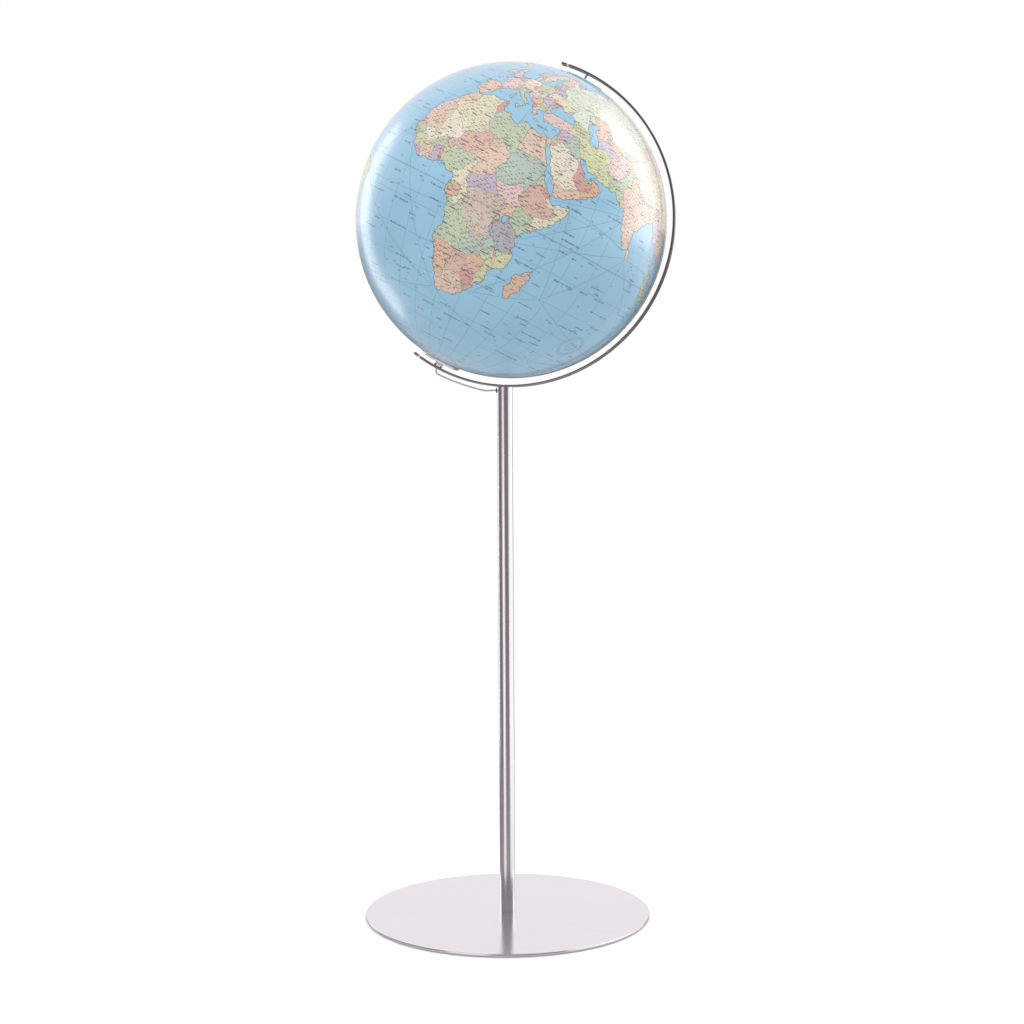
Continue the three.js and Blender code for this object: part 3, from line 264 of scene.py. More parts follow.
# One seed inside each country, with the tint it is printed in.
ROUTES = """
45 12 72.5 18.5/52 12.5 76.5 8.5/51.5 11 57.5 -20/40.5 -4.5 72.5 18/40 -6.5 79 6/18 -34.3 -18 14.5/18 -34.5
 -34 -7/-18 14.5 -34.5 -8/32 -29.5 57 -20.5/58 -20.5 114.5 -32/57.8 -19.5 80 5.5/49.5 -11.5 73 17/4 4.5 -18
 13.5/20 -35.5 114.5 -34.5/17.5 -34.6 -56 -36.5/11.5 -6 -34.5 -7.5/82 6 95 5.5/80.5 5.5 114.5 -31/-18.5 15
 -10 43.5/34 -28 48.5 -13
"""
SEEDS = """
-6 32 PEACH/-13 25 PINK/3 28 KHAKI/9 34.5 RED/17 27 GREEN/29 27 PEACH/30 16 TEAL/18 15 PEACH/10 17.5 ROSE/-1
 19 CREAM/-10 20 PEACH/-14.5 14.7 ROSE/-15.5 13.45 GREEN/-15 12 GREEN/-10 11 LIME/-11.8 8.5 PEACH/-9.3 6.4
 LILAC/-5.5 7.5 PEACH/-1.2 8 LILAC/.8 8 RED/2.2 9.5 LIME/-1.5 12.5 GREEN/7.5 9.5 GREEN/12.5 5.5 KHAKI/20 6.5
 LILAC/29 7.5 PINK/39 8.5 ROSE/38.5 15.5 GREEN/42.6 11.8 RED/46 5 KHAKI/38 .8 GREEN/32.2 1.6 PEACH/35 -6
 VIOLET/30 -2 GREEN/30 -3.3 RED/24 -3 BEIGE/15.5 -.5 KHAKI/11.5 -.8 ORANGE/10.4 1.6 GREEN/17 -12 GREEN/12.5
 -5.2 GREEN/27 -14.5 TEAL/33.8 -13 PEACH/37 -14 LIME/34 -20.5 LIME/30 -19 ORANGE/24 -21.5 ROSE/17 -21 ORANGE
/24 -31 PEACH/28.2 -29.6 GREEN/31.5 -26.6 RED/47 -19 ORANGE/45 24 CREAM/46 15.5 PEACH/57 21.5 ORANGE/54.3
 23.5 GREEN/51.2 25.2 RED/44 33 TEAL/47.6 29.2 PINK/36.5 31.3 ORANGE/35 31.2 GREEN/33.8 29.5 PEACH/38 35
 LILAC/36 33.9 RED/54 32.5 LIME/34 39 PINK/45 40.2 ORANGE/48 40.4 GREEN/43 42 LIME/66 34 PINK/68 28.5 GREEN
/78 22 PEACH/84 28.2 LILAC/90 24.3 LIME/80.7 7.4 KHAKI/59 39.4 LILAC/64 41.5 ORANGE/57.5 43.5 ORANGE/68 48
 PALE/73 41.3 GREEN/71 38.7 PINK/90 60 PALE/42 47 PALE/30 45 PALE/105 35 KHAKI/104 46.5 PINK/96 21 PINK/101
 16 PEACH/103.5 18.8 GREEN/105 12.8 LILAC/106 21.8 LIME/108.3 13.5 LIME/127 40.3 ORANGE/128 36.5 GREEN/138 36
 PINK/131 32.5 PINK/133.5 33.7 PINK/143 43.5 PINK/143 50 PALE/102 5 ORANGE/101 0 LIME/110 -7.3 LIME/114 0
 LIME/115 4 ORANGE/121 -2 LIME/136 -4 LIME/145 -6 PEACH/122 -26 PEACH/134 -22 LIME/133 -29 PINK/145 -24 CREAM
/147 -32 GREEN/145 -36.5 ORANGE/147 -42 LIME/176 -38.5 PINK/170 -44 PINK/121 23.8 KHAKI/109.6 19.2 KHAKI/121
 16.5 GREEN/125 7.5 GREEN/124 11 GREEN/-4 40 PEACH/-8 39.5 GREEN/2.5 47 PINK/10.5 51 CREAM/4.5 50.7 GREEN/5.5
 52.2 ORANGE/9.5 56 PINK/8 46.8 ROSE/12.5 43 GREEN/14 37.5 GREEN/9 40 GREEN/9.1 42.2 PINK/14.5 47.4 PINK/19
 52 GREEN/15.5 49.8 ORANGE/19.5 48.8 LIME/19.3 47 KHAKI/25 46 LILAC/25.3 42.7 GREEN/22 39.5 PEACH/24.9 35.1
 PEACH/33.2 35 GREEN/16.8 45.4 PINK/15 46 LIME/21 44 ORANGE/20 41.3 RED/21.8 41.7 LIME/31 49 KHAKI/28.3 47
 RED/28 53.5 LILAC/25 58.7 PINK/25 56.8 GREEN/24 55.3 ORANGE/21.3 54.8 PALE/27 63 PEACH/16 63 KHAKI/9 61 ROSE
/-2 53 PINK/-8 53 LIME/-19 65 PEACH/18 79 ROSE/62 75.5 PALE/100 80 PALE/-175 66.3 PALE/178 66 PALE/-40 73 ICE
/-95 40 CREAM/-105 58 PINK/-152 65 CREAM/-103 24 LIME/-91 15.8 ORANGE/-88.9 13.7 PINK/-87 14.9 PINK/-85 13
 LIME/-84.2 10 ORANGE/-80.5 8.6 RED/-79 22 ORANGE/-70.5 19 KHAKI/-56 49 PINK/-70 68 PINK/-110 71 PINK/-80 79
 PINK/-121 72 PINK/-86 75.6 PINK/-126 49.8 PINK/-74 4 ORANGE/-66 7.5 PEACH/-59 5 PINK/-56 4.3 LIME/-53 4
 ORANGE/-50 -10 LIME/-78 -1.5 LIME/-75 -10 PEACH/-64 -17 PINK/-58.5 -23 LIME/-65 -35 PEACH/-56 -32.5 PINK/-71
 -33 LILAC/-68 -54 PEACH/0 -80 ICE/53.9 12.5 PEACH
"""


class WorldMap:
    """The map as a flat sheet in longitude and latitude: loops, borders and tint seeds."""

    def __init__(self, seed: int, finest: float) -> None:
        """Reads the outlines and gives them their small bays and headlands.

        Args:
            seed: fixed seed of the fine coast wiggles.
            finest: the length in degrees below which a line is no longer broken up.
        """
        self.random = np.random.default_rng(seed)
        self.finest = finest
        self.coasts = [self.roughen(loop, True, 0.16) for loop in parse_lines(COASTS)]
        self.lakes = [self.roughen(loop, True, 0.12) for loop in parse_lines(LAKES)]
        self.south = self.roughen(parse_lines(SOUTH_COAST)[0], False, 0.16)
        self.borders = [self.roughen(line, False, 0.10) for line in parse_lines(BORDERS)]
        self.seeds = parse_seeds(SEEDS)

    def roughen(self, line: Line, closed: bool, sway: float) -> Line:
        """Breaks each stretch in two, again and again, moving every midpoint sideways.

        Args:
            line: corner points of the outline.
            closed: whether the last point joins the first.
            sway: sideways move as a share of a stretch's length.

        Returns:
            The finer outline; a closed one doesn't repeat its first point.
        """
        count = len(line)
        pairs = [(line[i], line[(i + 1) % count]) for i in range(count if closed else count - 1)]
        result: Line = []
        for start, end in pairs:
            result.append(start)
            self._split(start, end, sway, result)
        if not closed:
            result.append(line[-1])
        return result

    def _split(self, start: Point, end: Point, sway: float, result: Line) -> None:
        """Adds the points between two corners, leaving ruler-straight stretches straight."""
        dx, dy = end[0] - start[0], end[1] - start[1]
        squash = math.cos(math.radians((start[1] + end[1]) / 2))
        length = math.hypot(dx * squash, dy)
        if length < self.finest:
            return
        straight = dx == 0 or dy == 0
        shift = 0.0 if straight else self.random.normal() * sway * min(length, 2.5)
        middle = (
            (start[0] + end[0]) / 2 - dy / length * shift,
            (start[1] + end[1]) / 2 + dx * squash / length * shift,
        )
        self._split(start, middle, sway, result)
        result.append(middle)
        self._split(middle, end, sway, result)


def parse_lines(text: str) -> list[Line]:
    """Splits a block of numbers into lines of (longitude, latitude) points."""
    lines: list[Line] = []
    for part in text.split("/"):
        numbers = [float(word) for word in part.split()]
        lines.append(list(zip(numbers[0::2], numbers[1::2])))
    return [line for line in lines if line]


def parse_seeds(text: str) -> list[tuple[float, float, Tint]]:
    """Splits the seed block into (longitude, latitude, tint) entries."""
    seeds = []
    for part in text.split("/"):
        longitude, latitude, name = part.split()
        seeds.append((float(longitude), float(latitude), Tint[name]))
    return seeds


def sea_routes() -> list[Line]:
    """Shipping routes between ports, each the shortest way over the ball in short steps."""
    routes = []
    for start, end in parse_lines(ROUTES):
        ends = []
        for longitude, latitude in (start, end):
            east, north = math.radians(longitude), math.radians(latitude)
            ends.append(Vector((math.cos(north) * math.cos(east), math.cos(north) * math.sin(east),
                                math.sin(north))))
        steps = max(4, int(math.degrees(ends[0].angle(ends[1])) / 2.0))
        line: Line = []
        for step in range(steps + 1):
            spot = ends[0].slerp(ends[1], step / steps)
            line.append((math.degrees(math.atan2(spot.y, spot.x)), math.degrees(math.asin(spot.z))))
        routes.append(line)
    return routes


def emblem(longitude: float = 87.0, latitude: float = -31.0, radius: float = 5.2) -> list[tuple[Line, bool]]:
    """A plain ring emblem in the empty ocean: two rings round a few bars, as (line, closed) pairs."""
    squash = math.cos(math.radians(latitude))
    lines: list[tuple[Line, bool]] = []
    for ring in (radius, radius * 0.84):
        turns = [2 * math.pi * step / 48 for step in range(48)]
        lines.append(([(longitude + ring * math.cos(t) / squash, latitude + ring * math.sin(t))
                       for t in turns], True))
    for row, half in ((1.6, 2.2), (0.5, 3.2), (-0.6, 2.8), (-1.7, 1.8)):
        bar = [(longitude + half * side / squash, latitude + row) for side in (-1.0, -0.3, 0.3, 1.0)]
        lines.append((bar, False))
    return lines


def inside_loop(points: np.ndarray, loop: Line) -> np.ndarray:
    """Tells which points lie inside a closed loop, by counting edge crossings.

    Args:
        points: array of (longitude, latitude) rows.
        loop: the closed outline, first point not repeated.

    Returns:
        One truth value for each point.
    """
    outline = np.array(loop)
    low, high = outline.min(axis=0), outline.max(axis=0)
    within = np.zeros(len(points), dtype=bool)
    near = np.all((points >= low) & (points <= high), axis=1)
    x, y = points[near, 0], points[near, 1]
    odd = np.zeros(len(x), dtype=bool)
    previous = outline[-1]
    for corner in outline:
        crosses = (corner[1] > y) != (previous[1] > y)
        if corner[1] != previous[1]:
            edge_x = (previous[0] - corner[0]) * (y - corner[1]) / (previous[1] - corner[1]) + corner[0]
            odd ^= crosses & (x < edge_x)
        previous = corner
    within[near] = odd
    return within


# ------------------------------------------------------------------------------ mesh helpers
def finish_piece(name: str, mesh: Mesh, materials: Sequence[Material],
                 crease: float = 35.0) -> Piece:
    """Links a mesh as a piece at the origin, smooth up to a crease angle.

    Args:
        name: the piece's name.
        mesh: its finished mesh, in metres.
        materials: one material for each slot.
        crease: angle in degrees past which an edge stays sharp.

    Returns:
        The new object.
    """
    piece = bpy.data.objects.new(name, mesh)
    mesh.name = name
    bpy.context.scene.collection.objects.link(piece)
    for material in materials:
        mesh.materials.append(material)
    mesh.shade_smooth()
    mesh.set_sharp_from_angle(angle=math.radians(crease))
    LOG.info("%s: %d faces", name, len(mesh.polygons))
    return piece


def turned_mesh(profile: Sequence[Point], place: Matrix, segments: int = 96) -> Mesh:
    """Turns a profile about its own Z axis.

    Args:
        profile: (radius, height) points in metres, anticlockwise; off the axis it is closed.
        place: where the axis stands.
        segments: steps round the axis.

    Returns:
        A closed mesh with a UV map of (turn, distance along the profile).
    """
    shape = bmesh.new()
    uv_layer = shape.loops.layers.uv.new("surface")
    on_axis = profile[0][0] == 0 and profile[-1][0] == 0
    rings: list[list[bmesh.types.BMVert]] = []
    for radius, height in profile:
        count = 1 if radius == 0 else segments
        ring = []
        for step in range(count):
            angle = 2 * math.pi * step / segments
            spot = Vector((radius * math.cos(angle), radius * math.sin(angle), height))
            ring.append(shape.verts.new(place @ spot))
        rings.append(ring)
    lengths = [0.0]
    for first, second in zip(profile, list(profile[1:]) + [profile[0]]):
        lengths.append(lengths[-1] + math.dist(first, second))
    spans = len(rings) - 1 if on_axis else len(rings)
    for level in range(spans):
        low, high = rings[level], rings[(level + 1) % len(rings)]
        for step in range(segments):
            after = (step + 1) % segments
            corners = [low[step % len(low)], low[after % len(low)],
                       high[after % len(high)], high[step % len(high)]]
            turns = [step / segments, (step + 1) / segments, (step + 1) / segments, step / segments]
            along = [lengths[level], lengths[level], lengths[level + 1], lengths[level + 1]]
            unique: list[bmesh.types.BMVert] = []
            uvs: list[Point] = []
            for corner, turn, distance in zip(corners, turns, along):
                if corner not in unique:
                    unique.append(corner)
                    uvs.append((turn, distance))
            if len(unique) > 2:
                face = shape.faces.new(unique)
                for loop, uv in zip(face.loops, uvs):
                    loop[uv_layer].uv = uv
    mesh = bpy.data.meshes.new("turned")
    shape.to_mesh(mesh)
    shape.free()
    return mesh


def rounded(radius: float, low: float, high: float, edge: float, steps: int = 3) -> list[Point]:
    """A solid rod's profile with rounded rims, from the axis at the bottom to the axis at the top."""
    points: list[Point] = [(0.0, low)]
    for step in range(steps + 1):
        angle = -math.pi / 2 + math.pi / 2 * step / steps
        points.append((radius - edge + edge * math.cos(angle), low + edge + edge * math.sin(angle)))
    for step in range(steps + 1):
        angle = math.pi / 2 * step / steps
        points.append((radius - edge + edge * math.cos(angle), high - edge + edge * math.sin(angle)))
    points.append((0.0, high))
    return points


def rounded_ring(outer: float, inner: float, low: float, high: float, edge: float) -> list[Point]:
    """A tube's profile with rounded rims, closed on itself; a point beside each rim keeps the faces flat."""
    points: list[Point] = []
    corners = [(outer, low, 1, 1), (outer, high, 1, -1), (inner, high, -1, -1), (inner, low, -1, 1)]
    turns = [(-90, 0), (0, 90), (90, 180), (180, 270)]
    for (radius, height, across, up), (start, end) in zip(corners, turns):
        centre = (radius - across * edge, height + up * edge)
        beside = (radius - across * 2 * edge, height)
        arc: list[Point] = []
        for step in range(4):
            angle = math.radians(start + (end - start) * step / 3)
            arc.append((centre[0] + edge * math.cos(angle), centre[1] + edge * math.sin(angle)))
        points += [beside] + arc if across * up > 0 else arc + [beside]
    return points


# ------------------------------------------------------------------------------ shader helpers
class Nodes:
    """Short calls for building a node tree."""

    def __init__(self, tree: Tree) -> None:
        """Keeps the tree that nodes are added to."""
        self.tree = tree

    def add(self, kind: str, **settings: object) -> Node:
        """Adds a node and sets its properties."""
        node = self.tree.nodes.new(kind)
        for key, value in settings.items():
            setattr(node, key, value)
        return node

    def link(self, source: Socket, target: Socket) -> None:
        """Joins two sockets."""
        self.tree.links.new(source, target)

    def math(self, operation: str, *values: object) -> Socket:
        """Adds a Math node fed by sockets or numbers.

        Args:
            operation: the Math node's operation.
            values: its inputs, in order.

        Returns:
            The node's value output.
        """
        node = self.add("ShaderNodeMath", operation=operation)
        for slot, value in zip(node.inputs, values):
            if isinstance(value, Socket):
                self.link(value, slot)
            else:
                slot.default_value = value
        return node.outputs[0]

    def times(self, first: object, second: object) -> Socket:
        """Multiplies two sockets or numbers."""
        return self.math("MULTIPLY", first, second)

    def plus(self, first: object, second: object) -> Socket:
        """Adds two sockets or numbers."""
        return self.math("ADD", first, second)

    def mix(self, share: object, first: object, second: object, blend: str = "MIX") -> Socket:
        """Mixes two colours; each input is a socket or a value."""
        node = self.add("ShaderNodeMix", data_type="RGBA", blend_type=blend)
        for slot, value in zip((node.inputs[0], node.inputs[6], node.inputs[7]), (share, first, second)):
            if isinstance(value, Socket):
                self.link(value, slot)
            elif isinstance(value, tuple):
                slot.default_value = (*value[:3], 1.0)
            else:
                slot.default_value = value
        return node.outputs[2]


def set_inputs(node: Node, values: dict[str, object]) -> None:
    """Sets a node's own inputs by name."""
    for label, value in values.items():
        node.inputs[label].default_value = value


def new_group(name: str, inputs: dict[str, float], outputs: Sequence[tuple[str, str]]) -> Nodes:
    """Starts a shader node group with named number inputs and named outputs.

    Args:
        name: the group's name.
        inputs: input names with their default values.
        outputs: (name, socket type) pairs.

    Returns:
        The node helper of the new tree.
    """
    tree = bpy.data.node_groups.new(name, "ShaderNodeTree")
    tree.interface.new_socket("Vector", in_out="INPUT", socket_type="NodeSocketVector")
    for label, default in inputs.items():
        socket = tree.interface.new_socket(label, in_out="INPUT", socket_type="NodeSocketFloat")
        socket.default_value = default
    for label, kind in outputs:
        tree.interface.new_socket(label, in_out="OUTPUT", socket_type=kind)
    return Nodes(tree)


def brushing_group() -> Tree:
    """Fine parallel brush marks: noise stretched by a scale for each axis, as one value around 0.5."""
    nodes = new_group("brush_marks", {"Scale X": 6.0, "Scale Y": 900.0, "Scale Z": 6.0},
                      [("Marks", "NodeSocketFloat")])
    inside = nodes.add("NodeGroupInput")
    outside = nodes.add("NodeGroupOutput")
    scale = nodes.add("ShaderNodeCombineXYZ")
    for slot, label in zip(scale.inputs, ("Scale X", "Scale Y", "Scale Z")):
        nodes.link(inside.outputs[label], slot)
    stretched = nodes.add("ShaderNodeVectorMath", operation="MULTIPLY")
    nodes.link(inside.outputs["Vector"], stretched.inputs[0])
    nodes.link(scale.outputs[0], stretched.inputs[1])
    fine = nodes.add("ShaderNodeTexNoise")
    set_inputs(fine, {"Scale": 1.0, "Detail": 3.0})
    nodes.link(stretched.outputs[0], fine.inputs["Vector"])
    broad = nodes.add("ShaderNodeTexNoise")
    set_inputs(broad, {"Scale": 0.13, "Detail": 2.0})
    nodes.link(stretched.outputs[0], broad.inputs["Vector"])
    total = nodes.plus(nodes.times(fine.outputs[0], 0.7), nodes.times(broad.outputs[0], 0.3))
    nodes.link(total, outside.inputs["Marks"])
    return nodes.tree


def names_group() -> Tree:
    """Rows of tiny broken dashes that read as small print from a distance, with no letters in it.

    The vector is longitude and latitude in degrees. Row and Width are a cell's height and width in
    degrees, Density the share of cells that hold a dash, and Weight the dash's height in its cell.
    """
    nodes = new_group("small_print",
                      {"Row": 1.2, "Width": 4.0, "Density": 0.5, "Weight": 0.3, "Seed": 0.0},
                      [("Mask", "NodeSocketFloat")])
    inside = nodes.add("NodeGroupInput")
    outside = nodes.add("NodeGroupOutput")
    split = nodes.add("ShaderNodeSeparateXYZ")
    nodes.link(inside.outputs["Vector"], split.inputs[0])
    longitude, latitude = split.outputs[0], split.outputs[1]
    rows = nodes.math("DIVIDE", latitude, inside.outputs["Row"])
    row = nodes.math("FLOOR", rows)
    level = nodes.math("RADIANS", nodes.times(row, inside.outputs["Row"]))
    narrowing = nodes.math("MAXIMUM", nodes.math("COSINE", level), 0.1)
    shifted = nodes.plus(nodes.times(longitude, narrowing), nodes.times(row, 1.7))
    columns = nodes.math("DIVIDE", shifted, inside.outputs["Width"])
    column = nodes.math("FLOOR", columns)
    spot = nodes.add("ShaderNodeCombineXYZ")
    nodes.link(column, spot.inputs[0])
    nodes.link(row, spot.inputs[1])
    nodes.link(inside.outputs["Seed"], spot.inputs[2])
    chance = nodes.add("ShaderNodeTexWhiteNoise", noise_dimensions="3D")
    nodes.link(spot.outputs[0], chance.inputs["Vector"])
    draws = nodes.add("ShaderNodeSeparateColor")
    nodes.link(chance.outputs["Color"], draws.inputs[0])
    present = nodes.math("LESS_THAN", chance.outputs["Value"], inside.outputs["Density"])
    across = nodes.math("FRACT", columns)
    start = nodes.times(draws.outputs[0], 0.35)
    length = nodes.plus(0.2, nodes.times(draws.outputs[1], 0.4))
    after = nodes.math("GREATER_THAN", across, start)
    before = nodes.math("LESS_THAN", across, nodes.plus(start, length))
    centre = nodes.plus(0.3, nodes.times(draws.outputs[2], 0.4))
    height = nodes.math("ABSOLUTE", nodes.math("SUBTRACT", nodes.math("FRACT", rows), centre))
    stroke = nodes.add("ShaderNodeTexWhiteNoise", noise_dimensions="2D")
    fine = nodes.add("ShaderNodeCombineXYZ")
    nodes.link(nodes.math("FLOOR", nodes.times(columns, 26.0)), fine.inputs[0])
    nodes.link(row, fine.inputs[1])
    nodes.link(fine.outputs[0], stroke.inputs["Vector"])
    reach = nodes.times(inside.outputs["Weight"],
                       nodes.plus(0.1, nodes.times(stroke.outputs["Value"], 0.55)))
    within = nodes.math("LESS_THAN", height, reach)
    mask = nodes.times(nodes.times(present, within), nodes.times(after, before))
    nodes.link(mask, outside.inputs["Mask"])
    return nodes.tree


def wear_group() -> Tree:
    """Faint handling marks as one soft mottled value."""
    nodes = new_group("handling", {"Scale": 30.0}, [("Smudge", "NodeSocketFloat")])
    inside = nodes.add("NodeGroupInput")
    outside = nodes.add("NodeGroupOutput")
    smudge = nodes.add("ShaderNodeTexNoise")
    smudge.inputs["Detail"].default_value = 4.0
    nodes.link(inside.outputs["Vector"], smudge.inputs["Vector"])
    nodes.link(inside.outputs["Scale"], smudge.inputs["Scale"])
    nodes.link(smudge.outputs[0], outside.inputs["Smudge"])
    return nodes.tree


class Groups:
    """The shared shader groups, each built once."""

    def __init__(self) -> None:
        """Builds every group."""
        self.brushing = brushing_group()
        self.small_print = names_group()
        self.handling = wear_group()

    def place(self, nodes: Nodes, tree: Tree, vector: Socket,
              **values: float) -> Node:
        """Places a group in a material with its own values."""
        node = nodes.add("ShaderNodeGroup", node_tree=tree)
        nodes.link(vector, node.inputs["Vector"])
        for label, value in values.items():
            node.inputs[label].default_value = value
        return node


def new_material(name: str) -> tuple[Material, Nodes, Node]:
    """Starts a material and returns it with its node helper and its Principled shader."""
    material = bpy.data.materials.new(name)
    material.use_nodes = True
    nodes = Nodes(material.node_tree)
    return material, nodes, material.node_tree.nodes["Principled BSDF"]


@dataclass(frozen=True)
class BrushedSteel:
    """Stainless steel with fine parallel brush marks, drawn out along the axes of low scale."""

    name: str
    marks: tuple[float, float, float]
    color: tuple[float, float, float] = (0.80, 0.775, 0.79)
    roughness: float = 0.22
    spread: float = 0.12
    bump: float = 0.05

    def build(self, groups: Groups) -> Material:
        """Makes the material.

        Args:
            groups: the shared shader groups.

        Returns:
            The brushed steel.
        """
        material, nodes, shader = new_material(self.name)
        where = nodes.add("ShaderNodeTexCoord")
        across, up, deep = self.marks
        marks = groups.place(nodes, groups.brushing, where.outputs["Object"],
                             **{"Scale X": across, "Scale Y": up, "Scale Z": deep})
        wear = groups.place(nodes, groups.handling, where.outputs["Object"], Scale=26.0)
        value = marks.outputs["Marks"]
        shade = tuple(channel * 0.88 for channel in self.color)
        light = tuple(min(1.0, channel * 1.10) for channel in self.color)
        nodes.link(nodes.mix(value, shade, light), shader.inputs["Base Color"])
        rough = nodes.plus(self.roughness - self.spread / 2, nodes.times(value, self.spread))
        rough = nodes.plus(rough, nodes.times(wear.outputs["Smudge"], 0.05))
        nodes.link(rough, shader.inputs["Roughness"])
        shader.inputs["Metallic"].default_value = 1.0
        bump = nodes.add("ShaderNodeBump")
        set_inputs(bump, {"Strength": self.bump, "Distance": 0.0002})
        nodes.link(value, bump.inputs["Height"])
        nodes.link(bump.outputs[0], shader.inputs["Normal"])
        return material


@dataclass(frozen=True)
class PolishedSteel:
    """Turned and polished steel with faint smudges."""

    name: str = "polished_steel"
    color: tuple[float, float, float] = (0.88, 0.87, 0.885)
    roughness: float = 0.05

    def build(self, groups: Groups) -> Material:
        """Makes the material from the shared groups."""
        material, nodes, shader = new_material(self.name)
        where = nodes.add("ShaderNodeTexCoord")
        wear = groups.place(nodes, groups.handling, where.outputs["Object"], Scale=90.0)
        shader.inputs["Base Color"].default_value = (*self.color, 1.0)
        rough = nodes.plus(self.roughness, nodes.times(wear.outputs["Smudge"], 0.1))
        nodes.link(rough, shader.inputs["Roughness"])
        shader.inputs["Metallic"].default_value = 1.0
        return material


@dataclass(frozen=True)
class Plastic:
    """Moulded plastic or rubber with a fine skin."""

    name: str
    color: tuple[float, float, float]
    roughness: float = 0.45
    grain: float = 900.0
    bump: float = 0.08
    variation: float = 0.08

    def build(self, groups: Groups) -> Material:
        """Makes the material from the shared groups."""
        material, nodes, shader = new_material(self.name)
        where = nodes.add("ShaderNodeTexCoord")
        wear = groups.place(nodes, groups.handling, where.outputs["Object"], Scale=40.0)
        grain = nodes.add("ShaderNodeTexNoise")
        grain.inputs["Scale"].default_value = self.grain
        nodes.link(where.outputs["Object"], grain.inputs["Vector"])
        dark = tuple(channel * (1 - self.variation) for channel in self.color)
        base = nodes.mix(wear.outputs["Smudge"], dark, self.color)
        nodes.link(base, shader.inputs["Base Color"])
        rough = nodes.plus(self.roughness - 0.05, nodes.times(wear.outputs["Smudge"], 0.1))
        nodes.link(rough, shader.inputs["Roughness"])
        bump = nodes.add("ShaderNodeBump")
        set_inputs(bump, {"Strength": self.bump, "Distance": 0.0003})
        nodes.link(grain.outputs[0], bump.inputs["Height"])
        nodes.link(bump.outputs[0], shader.inputs["Normal"])
        return material


